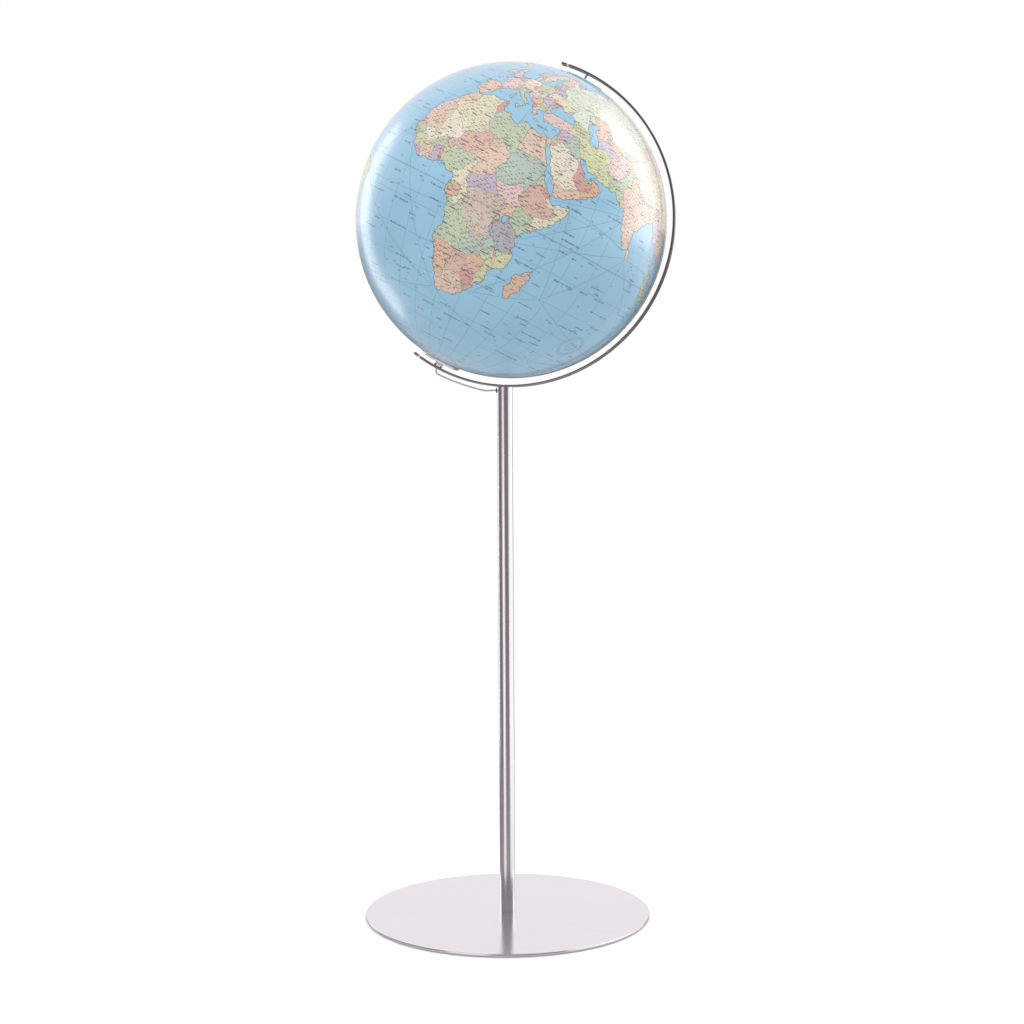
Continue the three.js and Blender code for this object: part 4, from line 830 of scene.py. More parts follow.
@dataclass(frozen=True)
class PrintedMap:
    """The lacquered political map, read from the shells' tint colours and their degree grid."""

    name: str = "printed_map"
    ink: tuple[float, float, float] = (0.10, 0.085, 0.10)
    sea_ink: tuple[float, float, float] = (0.070, 0.230, 0.370)
    sea_print: tuple[float, float, float] = (0.055, 0.120, 0.190)
    mesh_step: float = 10.0
    line_width: float = 0.17
    fine_print: float = 0.85

    def build(self, groups: Groups) -> Material:
        """Makes the material.

        Args:
            groups: the shared shader groups.

        Returns:
            A clear-coated print.
        """
        material, nodes, shader = new_material(self.name)
        tint = nodes.add("ShaderNodeVertexColor", layer_name="tint")
        grid = nodes.add("ShaderNodeUVMap", uv_map="degrees")
        scaled = nodes.add("ShaderNodeVectorMath", operation="MULTIPLY_ADD")
        scaled.inputs[1].default_value = (360.0, 180.0, 0.0)
        scaled.inputs[2].default_value = (-180.0, -90.0, 0.0)
        nodes.link(grid.outputs[0], scaled.inputs[0])
        degrees = scaled.outputs[0]
        split = nodes.add("ShaderNodeSeparateXYZ")
        nodes.link(degrees, split.inputs[0])
        longitude, latitude = split.outputs[0], split.outputs[1]
        land = tint.outputs["Alpha"]
        sea = nodes.math("SUBTRACT", 1.0, land)
        paper = self._paper(nodes, tint.outputs["Color"])
        meridians, parallels = self._net(nodes, longitude, latitude)
        net = nodes.times(nodes.math("MAXIMUM", meridians, parallels), 0.7)
        color = nodes.mix(nodes.times(net, nodes.plus(0.35, nodes.times(sea, 0.65))), paper, self.sea_ink)
        color = nodes.mix(self._equator(nodes, longitude, latitude), color, self.ink)
        towns, rivers, dots, seas, depths, currents = (self._print(nodes, groups, degrees, *row) for row in (
            (0.7, 2.6, 0.62, 0.5, 0.0), (1.7, 6.5, 0.3, 0.3, 3.0), (0.45, 0.9, 0.34, 0.75, 5.0),
            (1.7, 8.0, 0.06, 0.36, 7.0), (0.9, 3.0, 0.05, 0.5, 11.0), (4.6, 17.0, 0.45, 0.13, 9.0)))
        names = nodes.math("MAXIMUM", towns, rivers)
        names = nodes.math("MAXIMUM", names, nodes.times(dots, 0.6))
        print_mask = nodes.times(names, land)
        color = nodes.mix(nodes.times(print_mask, self.fine_print), color, self.ink)
        sea_names = nodes.math("MAXIMUM", nodes.math("MAXIMUM", seas, depths), currents)
        sea_mask = nodes.times(sea_names, sea)
        color = nodes.mix(nodes.times(sea_mask, 0.7), color, self.sea_print)
        nodes.link(color, shader.inputs["Base Color"])
        set_inputs(shader, {"Roughness": 0.42, "Coat Weight": 1.0, "Coat Roughness": 0.20})
        return material

    def _print(self, nodes: Nodes, groups: Groups, degrees: Socket, row: float, width: float,
               density: float, weight: float, seed: float) -> Socket:
        """Mask of one kind of small print, with its rows and cells in degrees."""
        return groups.place(nodes, groups.small_print, degrees, Row=row, Width=width, Density=density,
                            Weight=weight, Seed=seed).outputs[0]

    def _paper(self, nodes: Nodes, tint: Socket) -> Socket:
        """Gives the flat tint the slight cloudiness of a printed sheet."""
        where = nodes.add("ShaderNodeTexCoord")
        cloud = nodes.add("ShaderNodeTexNoise")
        set_inputs(cloud, {"Scale": 22.0, "Detail": 5.0})
        nodes.link(where.outputs["Object"], cloud.inputs["Vector"])
        fine = nodes.add("ShaderNodeTexNoise")
        fine.inputs["Scale"].default_value = 420.0
        nodes.link(where.outputs["Object"], fine.inputs["Vector"])
        total = nodes.plus(nodes.times(cloud.outputs[0], 0.16), nodes.times(fine.outputs[0], 0.12))
        level = nodes.plus(0.86, total)
        grey = nodes.add("ShaderNodeCombineColor")
        for slot in grey.inputs[:3]:
            nodes.link(level, slot)
        return nodes.mix(1.0, tint, grey.outputs[0], "MULTIPLY")

    def _net(self, nodes: Nodes, longitude: Socket,
             latitude: Socket) -> tuple[Socket, Socket]:
        """Masks of the meridians and parallels of the degree net."""
        def line(value: Socket) -> Socket:
            """Distance in degrees to the nearest net line."""
            wrapped = nodes.math("WRAP", value, self.mesh_step / 2, -self.mesh_step / 2)
            return nodes.math("ABSOLUTE", wrapped)

        narrowing = nodes.math("COSINE", nodes.math("RADIANS", latitude))
        meridian = nodes.times(line(longitude), narrowing)
        half = self.line_width / 2
        return nodes.math("LESS_THAN", meridian, half), nodes.math("LESS_THAN", line(latitude), half)

    def _equator(self, nodes: Nodes, longitude: Socket,
                 latitude: Socket) -> Socket:
        """Mask of the equator: two thin lines with a scale of alternating degrees between them."""
        away = nodes.math("ABSOLUTE", latitude)
        edge = nodes.math("LESS_THAN", nodes.math("ABSOLUTE", nodes.math("SUBTRACT", away, 0.22)), 0.05)
        blocks = nodes.math("GREATER_THAN", nodes.math("WRAP", longitude, 2.0, 0.0), 1.0)
        fill = nodes.times(nodes.math("LESS_THAN", away, 0.22), blocks)
        return nodes.times(nodes.math("MAXIMUM", edge, fill), 0.32)


# ------------------------------------------------------------------------------ the ball
@dataclass
class BallFrame:
    """Where the ball is: its centre, polar axis and the turn of the printed map about it."""

    centre: Vector
    pole: Vector
    radius: float
    map_turn: float = math.radians(-20.75)

    def matrix(self, turn: float = 0.0) -> Matrix:
        """The ball's own frame: +Z along the polar axis, the map's prime meridian along +X."""
        front = Vector((0.0, -1.0, 0.0))
        side = self.pole.cross(front)
        cosine, sine = math.cos(turn), math.sin(turn)
        first = front * cosine + side * sine
        second = side * cosine - front * sine
        rotation = Matrix((first, second, self.pole)).transposed().to_4x4()
        return Matrix.Translation(self.centre) @ rotation


def ball_frame() -> BallFrame:
    """Reads the ball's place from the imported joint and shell."""
    joint = frame["joints"][0]
    low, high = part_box("north_hemisphere")
    return BallFrame(Vector(joint["pos_m"]), Vector(joint["axis"]).normalized(), (high[1] - low[1]) / 2)


@dataclass
class PrintedBall:
    """The two printed shells, cut from one map sheet."""

    place: BallFrame
    print_inset: float = 0.06 * MM
    ink_lift: float = 0.03 * MM
    wall: float = 3 * MM
    sheet_step: float = 2.5
    north_rim: float = 88.4
    south_rim: float = -83.1
    finest: float = 0.75
    coast_half_width: float = 0.26 * MM
    border_half_width: float = 0.17 * MM
    route_half_width: float = 0.15 * MM
    map: WorldMap = field(init=False)

    def __post_init__(self) -> None:
        """Reads the map."""
        self.map = WorldMap(SEED, self.finest)

    # -- the flat sheet
    def _sheet_points(self) -> list[Point]:
        """Grid points that carry the ball's curvature, thinned towards the poles."""
        rows = list(np.arange(-82.5, self.north_rim, self.sheet_step))
        rows = [self.south_rim] + rows + [87.0, self.north_rim]
        points = []
        for row in rows:
            count = max(36, int(round(360 / self.sheet_step * math.cos(math.radians(row)))))
            points += [(-180 + 360 * step / count, float(row)) for step in range(count + 1)]
        return points

    def triangulate(self) -> tuple[np.ndarray, np.ndarray, set[tuple[int, int]]]:
        """Cuts the sheet into triangles that follow every coast and border.

        Returns:
            The points, the triangles and the edges that a tint doesn't cross.
        """
        points = self._sheet_points()
        edges: list[tuple[int, int]] = []

        def trace(line: Line, closed: bool) -> None:
            """Adds a line's points and edges."""
            start = len(points)
            points.extend((x, min(max(y, self.south_rim), self.north_rim)) for x, y in line)
            edges.extend((start + i, start + i + 1) for i in range(len(line) - 1))
            if closed:
                edges.append((start + len(line) - 1, start))

        for loop in self.map.coasts + self.map.lakes:
            trace(loop, True)
        trace(self.map.south, False)
        equator = [(-180 + self.sheet_step * step, 0.0) for step in range(int(360 / self.sheet_step) + 1)]
        trace(equator, False)
        first_border = len(edges)
        for line in self.map.borders:
            trace(line, False)
        flat = [Vector(point) for point in points]
        verts, out_edges, faces, _, edge_sources, _ = delaunay_2d_cdt(flat, edges, [], 0, 1e-5)
        barriers = set()
        for (a, b), sources in zip(out_edges, edge_sources):
            if any(source >= first_border for source in sources):
                barriers.add((min(a, b), max(a, b)))
        LOG.info("map sheet: %d points, %d triangles", len(verts), len(faces))
        return np.array([tuple(v) for v in verts]), np.array(faces), barriers

    def is_land(self, points: np.ndarray) -> np.ndarray:
        """Tells which points lie on land."""
        land = np.zeros(len(points), dtype=bool)
        for loop in self.map.coasts:
            land |= inside_loop(points, loop)
        land |= inside_loop(points, self.map.south + [(180.0, -90.0), (-180.0, -90.0)])
        for loop in self.map.lakes:
            land &= ~inside_loop(points, loop)
        return land

    def tints(self, points: np.ndarray, faces: np.ndarray, barriers: set[tuple[int, int]]) -> np.ndarray:
        """Spreads each country's tint from its seed until borders, coasts or neighbours stop it.

        Args:
            points: sheet points in degrees.
            faces: triangles as rows of three point numbers.
            barriers: edges that a tint doesn't cross.

        Returns:
            One row of red, green, blue and land share for each triangle.
        """
        centres = points[faces].mean(axis=1)
        land = self.is_land(centres)
        squash = np.cos(np.radians(centres[:, 1]))
        colors = np.tile(np.array([*Tint.OCEAN.value, 0.0]), (len(faces), 1))
        colors[land] = [*Tint.CREAM.value, 1.0]
        neighbours: dict[tuple[int, int], list[int]] = {}
        for number, (a, b, c) in enumerate(faces):
            for first, second in ((a, b), (b, c), (c, a)):
                neighbours.setdefault((min(first, second), max(first, second)), []).append(number)
        corners = points[faces]
        queue: list[tuple[float, int, int]] = []
        for entry, (longitude, latitude, _) in enumerate(self.map.seeds):
            spot = np.array([longitude, latitude])
            signs = []
            for i in range(3):
                first, second = corners[:, i], corners[:, (i + 1) % 3]
                signs.append((second[:, 0] - first[:, 0]) * (spot[1] - first[:, 1])
                             - (second[:, 1] - first[:, 1]) * (spot[0] - first[:, 0]))
            signs = np.array(signs)
            hit = np.where((np.all(signs >= 0, axis=0) | np.all(signs <= 0, axis=0)) & land)[0]
            if len(hit):
                queue.append((0.0, int(hit[0]), entry))
            else:
                LOG.info("seed at %s has no land", spot)
        heapq.heapify(queue)
        owner = np.full(len(faces), -1)
        while queue:
            cost, number, entry = heapq.heappop(queue)
            if owner[number] >= 0:
                continue
            owner[number] = entry
            colors[number, :3] = self.map.seeds[entry][2].value
            a, b, c = faces[number]
            for first, second in ((a, b), (b, c), (c, a)):
                key = (min(first, second), max(first, second))
                if key in barriers:
                    continue
                for other in neighbours[key]:
                    if owner[other] < 0 and land[other]:
                        step = centres[other] - centres[number]
                        distance = math.hypot(step[0] * squash[number], step[1])
                        heapq.heappush(queue, (cost + distance, other, entry))
        return colors

    # -- onto the ball
    def on_ball(self, degrees: np.ndarray, radius: float) -> np.ndarray:
        """Puts sheet points on the ball.

        Args:
            degrees: rows of longitude and latitude.
            radius: distance from the ball's centre in metres.

        Returns:
            Rows of x, y and z in the part's frame.
        """
        longitude, latitude = np.radians(degrees[:, 0]), np.radians(degrees[:, 1])
        ring = np.cos(latitude)
        local = np.stack([ring * np.cos(longitude), ring * np.sin(longitude), np.sin(latitude)], axis=1)
        frame_matrix = np.array(self.place.matrix(self.place.map_turn))
        return local * radius @ frame_matrix[:3, :3].T + frame_matrix[:3, 3]

    def ribbons(self, sign: int) -> tuple[list[np.ndarray], list[tuple[int, ...]], list[Point], list[int]]:
        """Ink lines of coasts, lakes and borders in one half of the ball.

        Args:
            sign: 1 for the northern half, -1 for the southern.

        Returns:
            Points, four-sided faces, the degrees of each point and the ink slot of each face.
        """
        radius = self.place.radius - self.print_inset + self.ink_lift
        points: list[np.ndarray] = []
        faces: list[tuple[int, ...]] = []
        degrees: list[Point] = []
        inks: list[int] = []
        centre = np.array(self.place.centre)

        def lay(line: Line, closed: bool, half_width: float, only: str, ink: int = 2) -> None:
            """Lays one line as a ribbon, leaving out stretches of the other half, of sea or of land."""
            flat = np.array(line + [line[0]] if closed else line)
            flat[:, 1] = np.clip(flat[:, 1], self.south_rim, self.north_rim)
            middles = (flat[1:] + flat[:-1]) / 2
            kept = np.sign(middles[:, 1]) == sign
            kept &= ~((np.abs(flat[1:, 0]) > 179.9) & (np.abs(flat[:-1, 0]) > 179.9))
            if only != "anywhere":
                kept &= self.is_land(middles) == (only == "land")
            spots = self.on_ball(flat, radius)
            steps = np.diff(spots, axis=0)
            steps /= np.maximum(np.linalg.norm(steps, axis=1), 1e-9)[:, None]
            before = np.vstack([steps[-1:] if closed else steps[:1], steps])
            after = np.vstack([steps, steps[:1] if closed else steps[-1:]])
            ahead = before + after
            ahead /= np.maximum(np.linalg.norm(ahead, axis=1), 1e-9)[:, None]
            sides = np.cross((spots - centre) / radius, ahead)
            start = len(points)
            for spot, side, flat_spot in zip(spots, sides, flat):
                points.extend((spot + side * half_width, spot - side * half_width))
                degrees.extend((tuple(flat_spot), tuple(flat_spot)))
            for i in np.where(kept)[0]:
                left = start + 2 * int(i)
                faces.append((left + 1, left + 3, left + 2, left))
                inks.append(ink)

        for loop in self.map.coasts + self.map.lakes:
            lay(loop, True, self.coast_half_width, "anywhere")
        lay(self.map.south, False, self.coast_half_width, "anywhere", 3)
        for line in self.map.borders:
            lay(line, False, self.border_half_width, "land")
        for line in sea_routes():
            lay(line, False, self.route_half_width, "sea", 3)
        for line, closed in emblem():
            lay(line, closed, self.border_half_width, "sea")
        return points, faces, degrees, inks

    def shell(self, name: str, sign: int, sheet: tuple[np.ndarray, np.ndarray, np.ndarray],
              materials: Sequence[Material]) -> Piece:
        """Builds one half: printed skin, inner wall, rims and ink lines.

        Args:
            name: the piece's name.
            sign: 1 for the northern half, -1 for the southern.
            sheet: sheet points, triangles and triangle colours.
            materials: print, moulded wall and ink.

        Returns:
            The shell as one object.
        """
        degrees, faces, colors = sheet
        half = np.sign(degrees[faces][:, :, 1].mean(axis=1)) == sign
        faces, colors = faces[half], colors[half]
        radius = self.place.radius - self.print_inset
        spots = self.on_ball(degrees, radius)
        keys = [tuple(row) for row in np.round(spots / 1e-6).astype(int)]
        merged: dict[tuple[int, ...], int] = {}
        number = [merged.setdefault(key, len(merged)) for key in keys]
        first = np.zeros((len(merged), 3))
        first[number] = spots
        used = np.unique(np.array(number)[faces])
        renumber = {int(old): new for new, old in enumerate(used)}
        skin = [tuple(renumber[number[corner]] for corner in face) for face in faces]
        keep = [i for i, face in enumerate(skin) if len(set(face)) == 3]
        outer = first[used]
        centre = np.array(self.place.centre)
        inner = centre + (outer - centre) * ((radius - self.wall) / radius)
        count = len(outer)
        polygons = [skin[i] for i in keep]
        edge_use: dict[tuple[int, int], int] = {}
        for face in polygons:
            for a, b in zip(face, face[1:] + face[:1]):
                edge_use[(a, b)] = edge_use.get((a, b), 0) + 1
        rims = [(a, b) for (a, b) in edge_use if (b, a) not in edge_use]
        ink_points, ink_faces, ink_degrees, inks = self.ribbons(sign)
        vertices = list(map(tuple, outer)) + list(map(tuple, inner)) + list(map(tuple, ink_points))
        walls = [tuple(count + corner for corner in reversed(face)) for face in polygons]
        rim_faces = [(b, a, count + a, count + b) for a, b in rims]
        ink = [tuple(2 * count + corner for corner in face) for face in ink_faces]
        mesh = bpy.data.meshes.new(name)
        mesh.from_pydata(vertices, [], polygons + walls + rim_faces + ink)
        slots = [0] * len(polygons) + [1] * (len(walls) + len(rim_faces)) + inks
        mesh.polygons.foreach_set("material_index", slots)
        self._dress(mesh, degrees[faces][keep], colors[keep], ink_degrees)
        piece = finish_piece(name, mesh, materials)
        radial = np.array(vertices) - centre
        radial /= np.linalg.norm(radial, axis=1)[:, None]
        radial[count:2 * count] *= -1
        mesh.normals_split_custom_set_from_vertices(radial.tolist())
        return piece

    def _dress(self, mesh: Mesh, corners: np.ndarray, colors: np.ndarray,
               ink_degrees: list[Point]) -> None:
        """Writes the degree grid and the tints on the printed triangles."""
        grid = np.zeros((len(mesh.loops), 2))
        flat = corners.reshape(-1, 2)
        grid[: len(flat)] = flat / (360.0, 180.0) + 0.5
        paint = np.ones((len(mesh.loops), 4))
        paint[: len(flat)] = np.repeat(colors, 3, axis=0)
        layer = mesh.uv_layers.new(name="degrees")
        layer.data.foreach_set("uv", grid.ravel())
        tint = mesh.color_attributes.new(name="tint", type="FLOAT_COLOR", domain="CORNER")
        tint.data.foreach_set("color", paint.ravel())

    def build(self, groups: Groups, wall: Material, inks: Sequence[Material]) -> None:
        """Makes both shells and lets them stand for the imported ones."""
        points, faces, barriers = self.triangulate()
        colors = self.tints(points, faces, barriers)
        printed = PrintedMap().build(groups)
        for name, node, sign in (("north_shell", "north_hemisphere", 1),
                                 ("south_shell", "south_hemisphere", -1)):
            piece = self.shell(name, sign, (points, faces, colors), (printed, wall, *inks))
            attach(piece, "ball")
            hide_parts(node)


# ------------------------------------------------------------------------------ sweeps
def sweep_tree() -> Tree:
    """A Geometry Nodes tree that draws a section with rounded corners along a curve.

    Width lies along the curve's normal and Thickness across it; an Edge of half of both makes the
    section round. The curve's point radius tapers it.
    """
    tree = bpy.data.node_groups.new("rounded_sweep", "GeometryNodeTree")
    tree.interface.new_socket("Geometry", in_out="INPUT", socket_type="NodeSocketGeometry")
    for label, default in (("Width", 10 * MM), ("Thickness", 3 * MM), ("Edge", 0.5 * MM)):
        socket = tree.interface.new_socket(label, in_out="INPUT", socket_type="NodeSocketFloat")
        socket.default_value = default
    socket = tree.interface.new_socket("Corner Steps", in_out="INPUT", socket_type="NodeSocketInt")
    socket.default_value = 3
    tree.interface.new_socket("Material", in_out="INPUT", socket_type="NodeSocketMaterial")
    tree.interface.new_socket("Geometry", in_out="OUTPUT", socket_type="NodeSocketGeometry")
    nodes = Nodes(tree)
    inside = nodes.add("NodeGroupInput")
    outside = nodes.add("NodeGroupOutput")
    section = nodes.add("GeometryNodeCurvePrimitiveQuadrilateral")
    nodes.link(inside.outputs["Width"], section.inputs["Width"])
    nodes.link(inside.outputs["Thickness"], section.inputs["Height"])
    corners = nodes.add("GeometryNodeFilletCurve", mode="POLY")
    nodes.link(section.outputs[0], corners.inputs["Curve"])
    nodes.link(inside.outputs["Edge"], corners.inputs["Radius"])
    nodes.link(inside.outputs["Corner Steps"], corners.inputs["Count"])
    corners.inputs["Limit Radius"].default_value = True
    skin = nodes.add("GeometryNodeCurveToMesh")
    skin.inputs["Fill Caps"].default_value = True
    share = nodes.add("GeometryNodeInputRadius")
    nodes.link(share.outputs[0], skin.inputs["Scale"])
    nodes.link(inside.outputs["Geometry"], skin.inputs["Curve"])
    nodes.link(corners.outputs[0], skin.inputs["Profile Curve"])
    welded = nodes.add("GeometryNodeMergeByDistance")
    welded.inputs["Distance"].default_value = 1e-6
    nodes.link(skin.outputs[0], welded.inputs["Geometry"])
    realized = nodes.add("GeometryNodeRealizeInstances")
    nodes.link(welded.outputs[0], realized.inputs["Geometry"])
    painted = nodes.add("GeometryNodeSetMaterial")
    nodes.link(realized.outputs[0], painted.inputs["Geometry"])
    nodes.link(inside.outputs["Material"], painted.inputs["Material"])
    nodes.link(painted.outputs[0], outside.inputs["Geometry"])
    return tree


@dataclass(frozen=True)
class Section:
    """A swept section: its width, its thickness and the rounding of its corners, in metres."""

    width: float
    thickness: float
    edge: float
    corner_steps: int = 3


def swept_piece(name: str, tree: Tree, path: Sequence[Vector], section: Section,
                material: Material, taper: Sequence[float] | None = None) -> Piece:
    """Sweeps a section along a path and turns the result into a plain mesh piece.

    Args:
        name: the piece's name.
        tree: the sweep tree.
        path: points of the centreline.
        section: the swept section.
        material: the piece's material.
        taper: share of the full section at each point.

    Returns:
        The finished piece.
    """
    curve = bpy.data.curves.new(name + "_path", "CURVE")
    curve.dimensions = "3D"
    spline = curve.splines.new("POLY")
    spline.points.add(len(path) - 1)
    for point, spot, share in zip(spline.points, path, taper or [1.0] * len(path)):
        point.co = (*spot, 1.0)
        point.radius = share
    guide = bpy.data.objects.new(name + "_path", curve)
    bpy.context.scene.collection.objects.link(guide)
    modifier = guide.modifiers.new("sweep", "NODES")
    modifier.node_group = tree
    values = {"Width": section.width, "Thickness": section.thickness, "Edge": section.edge,
              "Corner Steps": section.corner_steps, "Material": material}
    for item in tree.interface.items_tree:
        if item.item_type == "SOCKET" and item.in_out == "INPUT" and item.name in values:
            modifier[item.identifier] = values[item.name]
    graph = bpy.context.evaluated_depsgraph_get()
    mesh = bpy.data.meshes.new_from_object(guide.evaluated_get(graph))
    guide.modifiers.remove(modifier)
    bpy.data.objects.remove(guide)
    mesh.materials.clear()
    outward(mesh)
    return finish_piece(name, mesh, (material,))


def outward(mesh: Mesh) -> None:
    """Turns every face of a closed mesh outwards."""
    shape = bmesh.new()
    shape.from_mesh(mesh)
    bmesh.ops.recalc_face_normals(shape, faces=shape.faces)
    shape.to_mesh(mesh)
    shape.free()


def drill(piece: Piece, holes: Sequence[tuple[Vector, Vector, float, float]]) -> None:
    """Cuts round or flared holes through a piece.

    Args:
        piece: the piece to drill.
        holes: (start, end, radius at the start, radius at the end) of each hole.
    """
    for number, (start, end, radius, flare) in enumerate(holes):
        length = (end - start).length
        turn = (end - start).to_track_quat("Z", "Y").to_matrix().to_4x4()
        drill_mesh = turned_mesh([(0.0, 0.0), (radius, 0.0), (flare, length), (0.0, length)],
                                 Matrix.Translation(start) @ turn, 40)
        tool = bpy.data.objects.new(f"drill_{number}", drill_mesh)
        bpy.context.scene.collection.objects.link(tool)
        modifier = piece.modifiers.new("drill", "BOOLEAN")
        modifier.operation = "DIFFERENCE"
        modifier.solver = "EXACT"
        modifier.object = tool
        graph = bpy.context.evaluated_depsgraph_get()
        mesh = bpy.data.meshes.new_from_object(piece.evaluated_get(graph))
        piece.modifiers.remove(modifier)
        piece.data = mesh
        bpy.data.objects.remove(tool)
    piece.data.name = piece.name
    piece.data.shade_smooth()
    piece.data.set_sharp_from_angle(angle=math.radians(35.0))


# ------------------------------------------------------------------------------ the finishes
@dataclass
class Finishes:
    """Every material of the globe, by the record's slot."""

    groups: Groups = field(default_factory=Groups)
    by_slot: dict[str, Material] = field(default_factory=dict)

    def __post_init__(self) -> None:
        """Builds the materials."""
        finishes = {
            "brushed_steel": BrushedSteel("base_steel", (5.0, 1400.0, 5.0), roughness=0.16),
            "column_steel": BrushedSteel("column_steel", (8.0, 8.0, 1500.0), roughness=0.17, spread=0.08),
            "band_steel": BrushedSteel("band_steel", (10.0, 1800.0, 10.0), (0.27, 0.24, 0.25), 0.20, 0.10),
            "polished_steel": PolishedSteel(),
            "collar_steel": PolishedSteel("collar_steel", (0.97, 0.965, 0.97), 0.42),
            "fastener_steel": PolishedSteel("fastener_steel", (0.62, 0.615, 0.60)),
            "underlay": Plastic("underlay", (0.030, 0.029, 0.029), 0.9, 700.0, 0.3, 0.3),
            "black_plastic": Plastic("black_plastic", (0.018, 0.017, 0.018), 0.42),
            "white_plastic": Plastic("white_plastic", (0.80, 0.80, 0.77), 0.4),
            "clear_plastic": Plastic("clear_plastic", (0.72, 0.76, 0.78), 0.25),
            "lamp_opal": Plastic("lamp_opal", (0.88, 0.87, 0.83), 0.25, 400.0, 0.02, 0.03),
            "lead_sheath": Plastic("lead_sheath", (0.52, 0.50, 0.49), 0.5, 1500.0, 0.1, 0.1),
            "shell_wall": Plastic("shell_wall", (0.83, 0.83, 0.80), 0.45),
            "map_ink": Plastic("map_ink", (0.085, 0.075, 0.085), 0.45, 1200.0, 0.02, 0.2),
            "sea_ink": Plastic("sea_ink", (0.050, 0.150, 0.260), 0.45, 1200.0, 0.02, 0.2),
            "polar_cap": PolarPrint(),
        }
        for slot, finish in finishes.items():
            self.by_slot[slot] = finish.build(self.groups)

    def dress_frame(self) -> None:
        """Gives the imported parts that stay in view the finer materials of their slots."""
        slots = {"base_underlay": "underlay", "lamp_holder": "white_plastic", "lamp_bulb": "lamp_opal",
                 "north_bearing": "white_plastic", "south_sleeve": "white_plastic",
                 "equator_hoop": "clear_plastic"}
        for name, node in frame["nodes"].items():
            node.data.materials.clear()
            node.data.materials.append(self.by_slot[slots.get(name, "fastener_steel")])


@dataclass(frozen=True)
class PolarPrint:
    """The pale printed disc round the north pivot, with a ring of hour ticks."""

    name: str = "polar_print"
    color: tuple[float, float, float] = (0.400, 0.620, 0.780)
    ink: tuple[float, float, float] = (0.060, 0.150, 0.260)

    def build(self, groups: Groups) -> Material:
        """Makes the material from the disc's own map of turn and distance."""
        material, nodes, shader = new_material(self.name)
        where = nodes.add("ShaderNodeTexCoord")
        smudge = groups.place(nodes, groups.handling, where.outputs["Object"], Scale=60.0)
        paper = nodes.mix(smudge.outputs["Smudge"], tuple(c * 0.9 for c in self.color), self.color)
        split = nodes.add("ShaderNodeSeparateXYZ")
        nodes.link(where.outputs["UV"], split.inputs[0])
        hours = nodes.math("ABSOLUTE", nodes.math("WRAP", nodes.times(split.outputs[0], 24.0), 0.5, -0.5))
        tick = nodes.math("LESS_THAN", hours, 0.06)
        near = nodes.times(nodes.math("GREATER_THAN", split.outputs[1], 2.0 * MM),
                          nodes.math("LESS_THAN", split.outputs[1], 5.0 * MM))
        ring = nodes.math("LESS_THAN",
                          nodes.math("ABSOLUTE", nodes.math("SUBTRACT", split.outputs[1], 5.5 * MM)),
                          0.2 * MM)
        mask = nodes.math("MAXIMUM", nodes.times(tick, near), ring)
        nodes.link(nodes.mix(nodes.times(mask, 0.7), paper, self.ink), shader.inputs["Base Color"])
        set_inputs(shader, {"Roughness": 0.4, "Coat Weight": 1.0, "Coat Roughness": 0.12})
        return material


# ------------------------------------------------------------------------------ the stand
def keep(piece: Piece, body: str, node: str, slot: str) -> None:
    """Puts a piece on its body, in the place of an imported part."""
    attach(piece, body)
    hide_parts(node)


@dataclass
class Base:
    """The round plate that the column stands on."""

    edge: float = 0.45 * MM
    screw_hole: float = 4.2 * MM

    def build(self, finishes: Finishes) -> None:
        """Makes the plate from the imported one's radius and faces."""
        low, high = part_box("base_plate")
        profile = rounded_ring((high.x - low.x) / 2, self.screw_hole, low.z, high.z, self.edge)
        mesh = turned_mesh(profile, Matrix.Identity(4), 256)
        keep(finish_piece("steel_base", mesh, (finishes.by_slot["brushed_steel"],)),
             "stand", "base_plate", "brushed_steel")


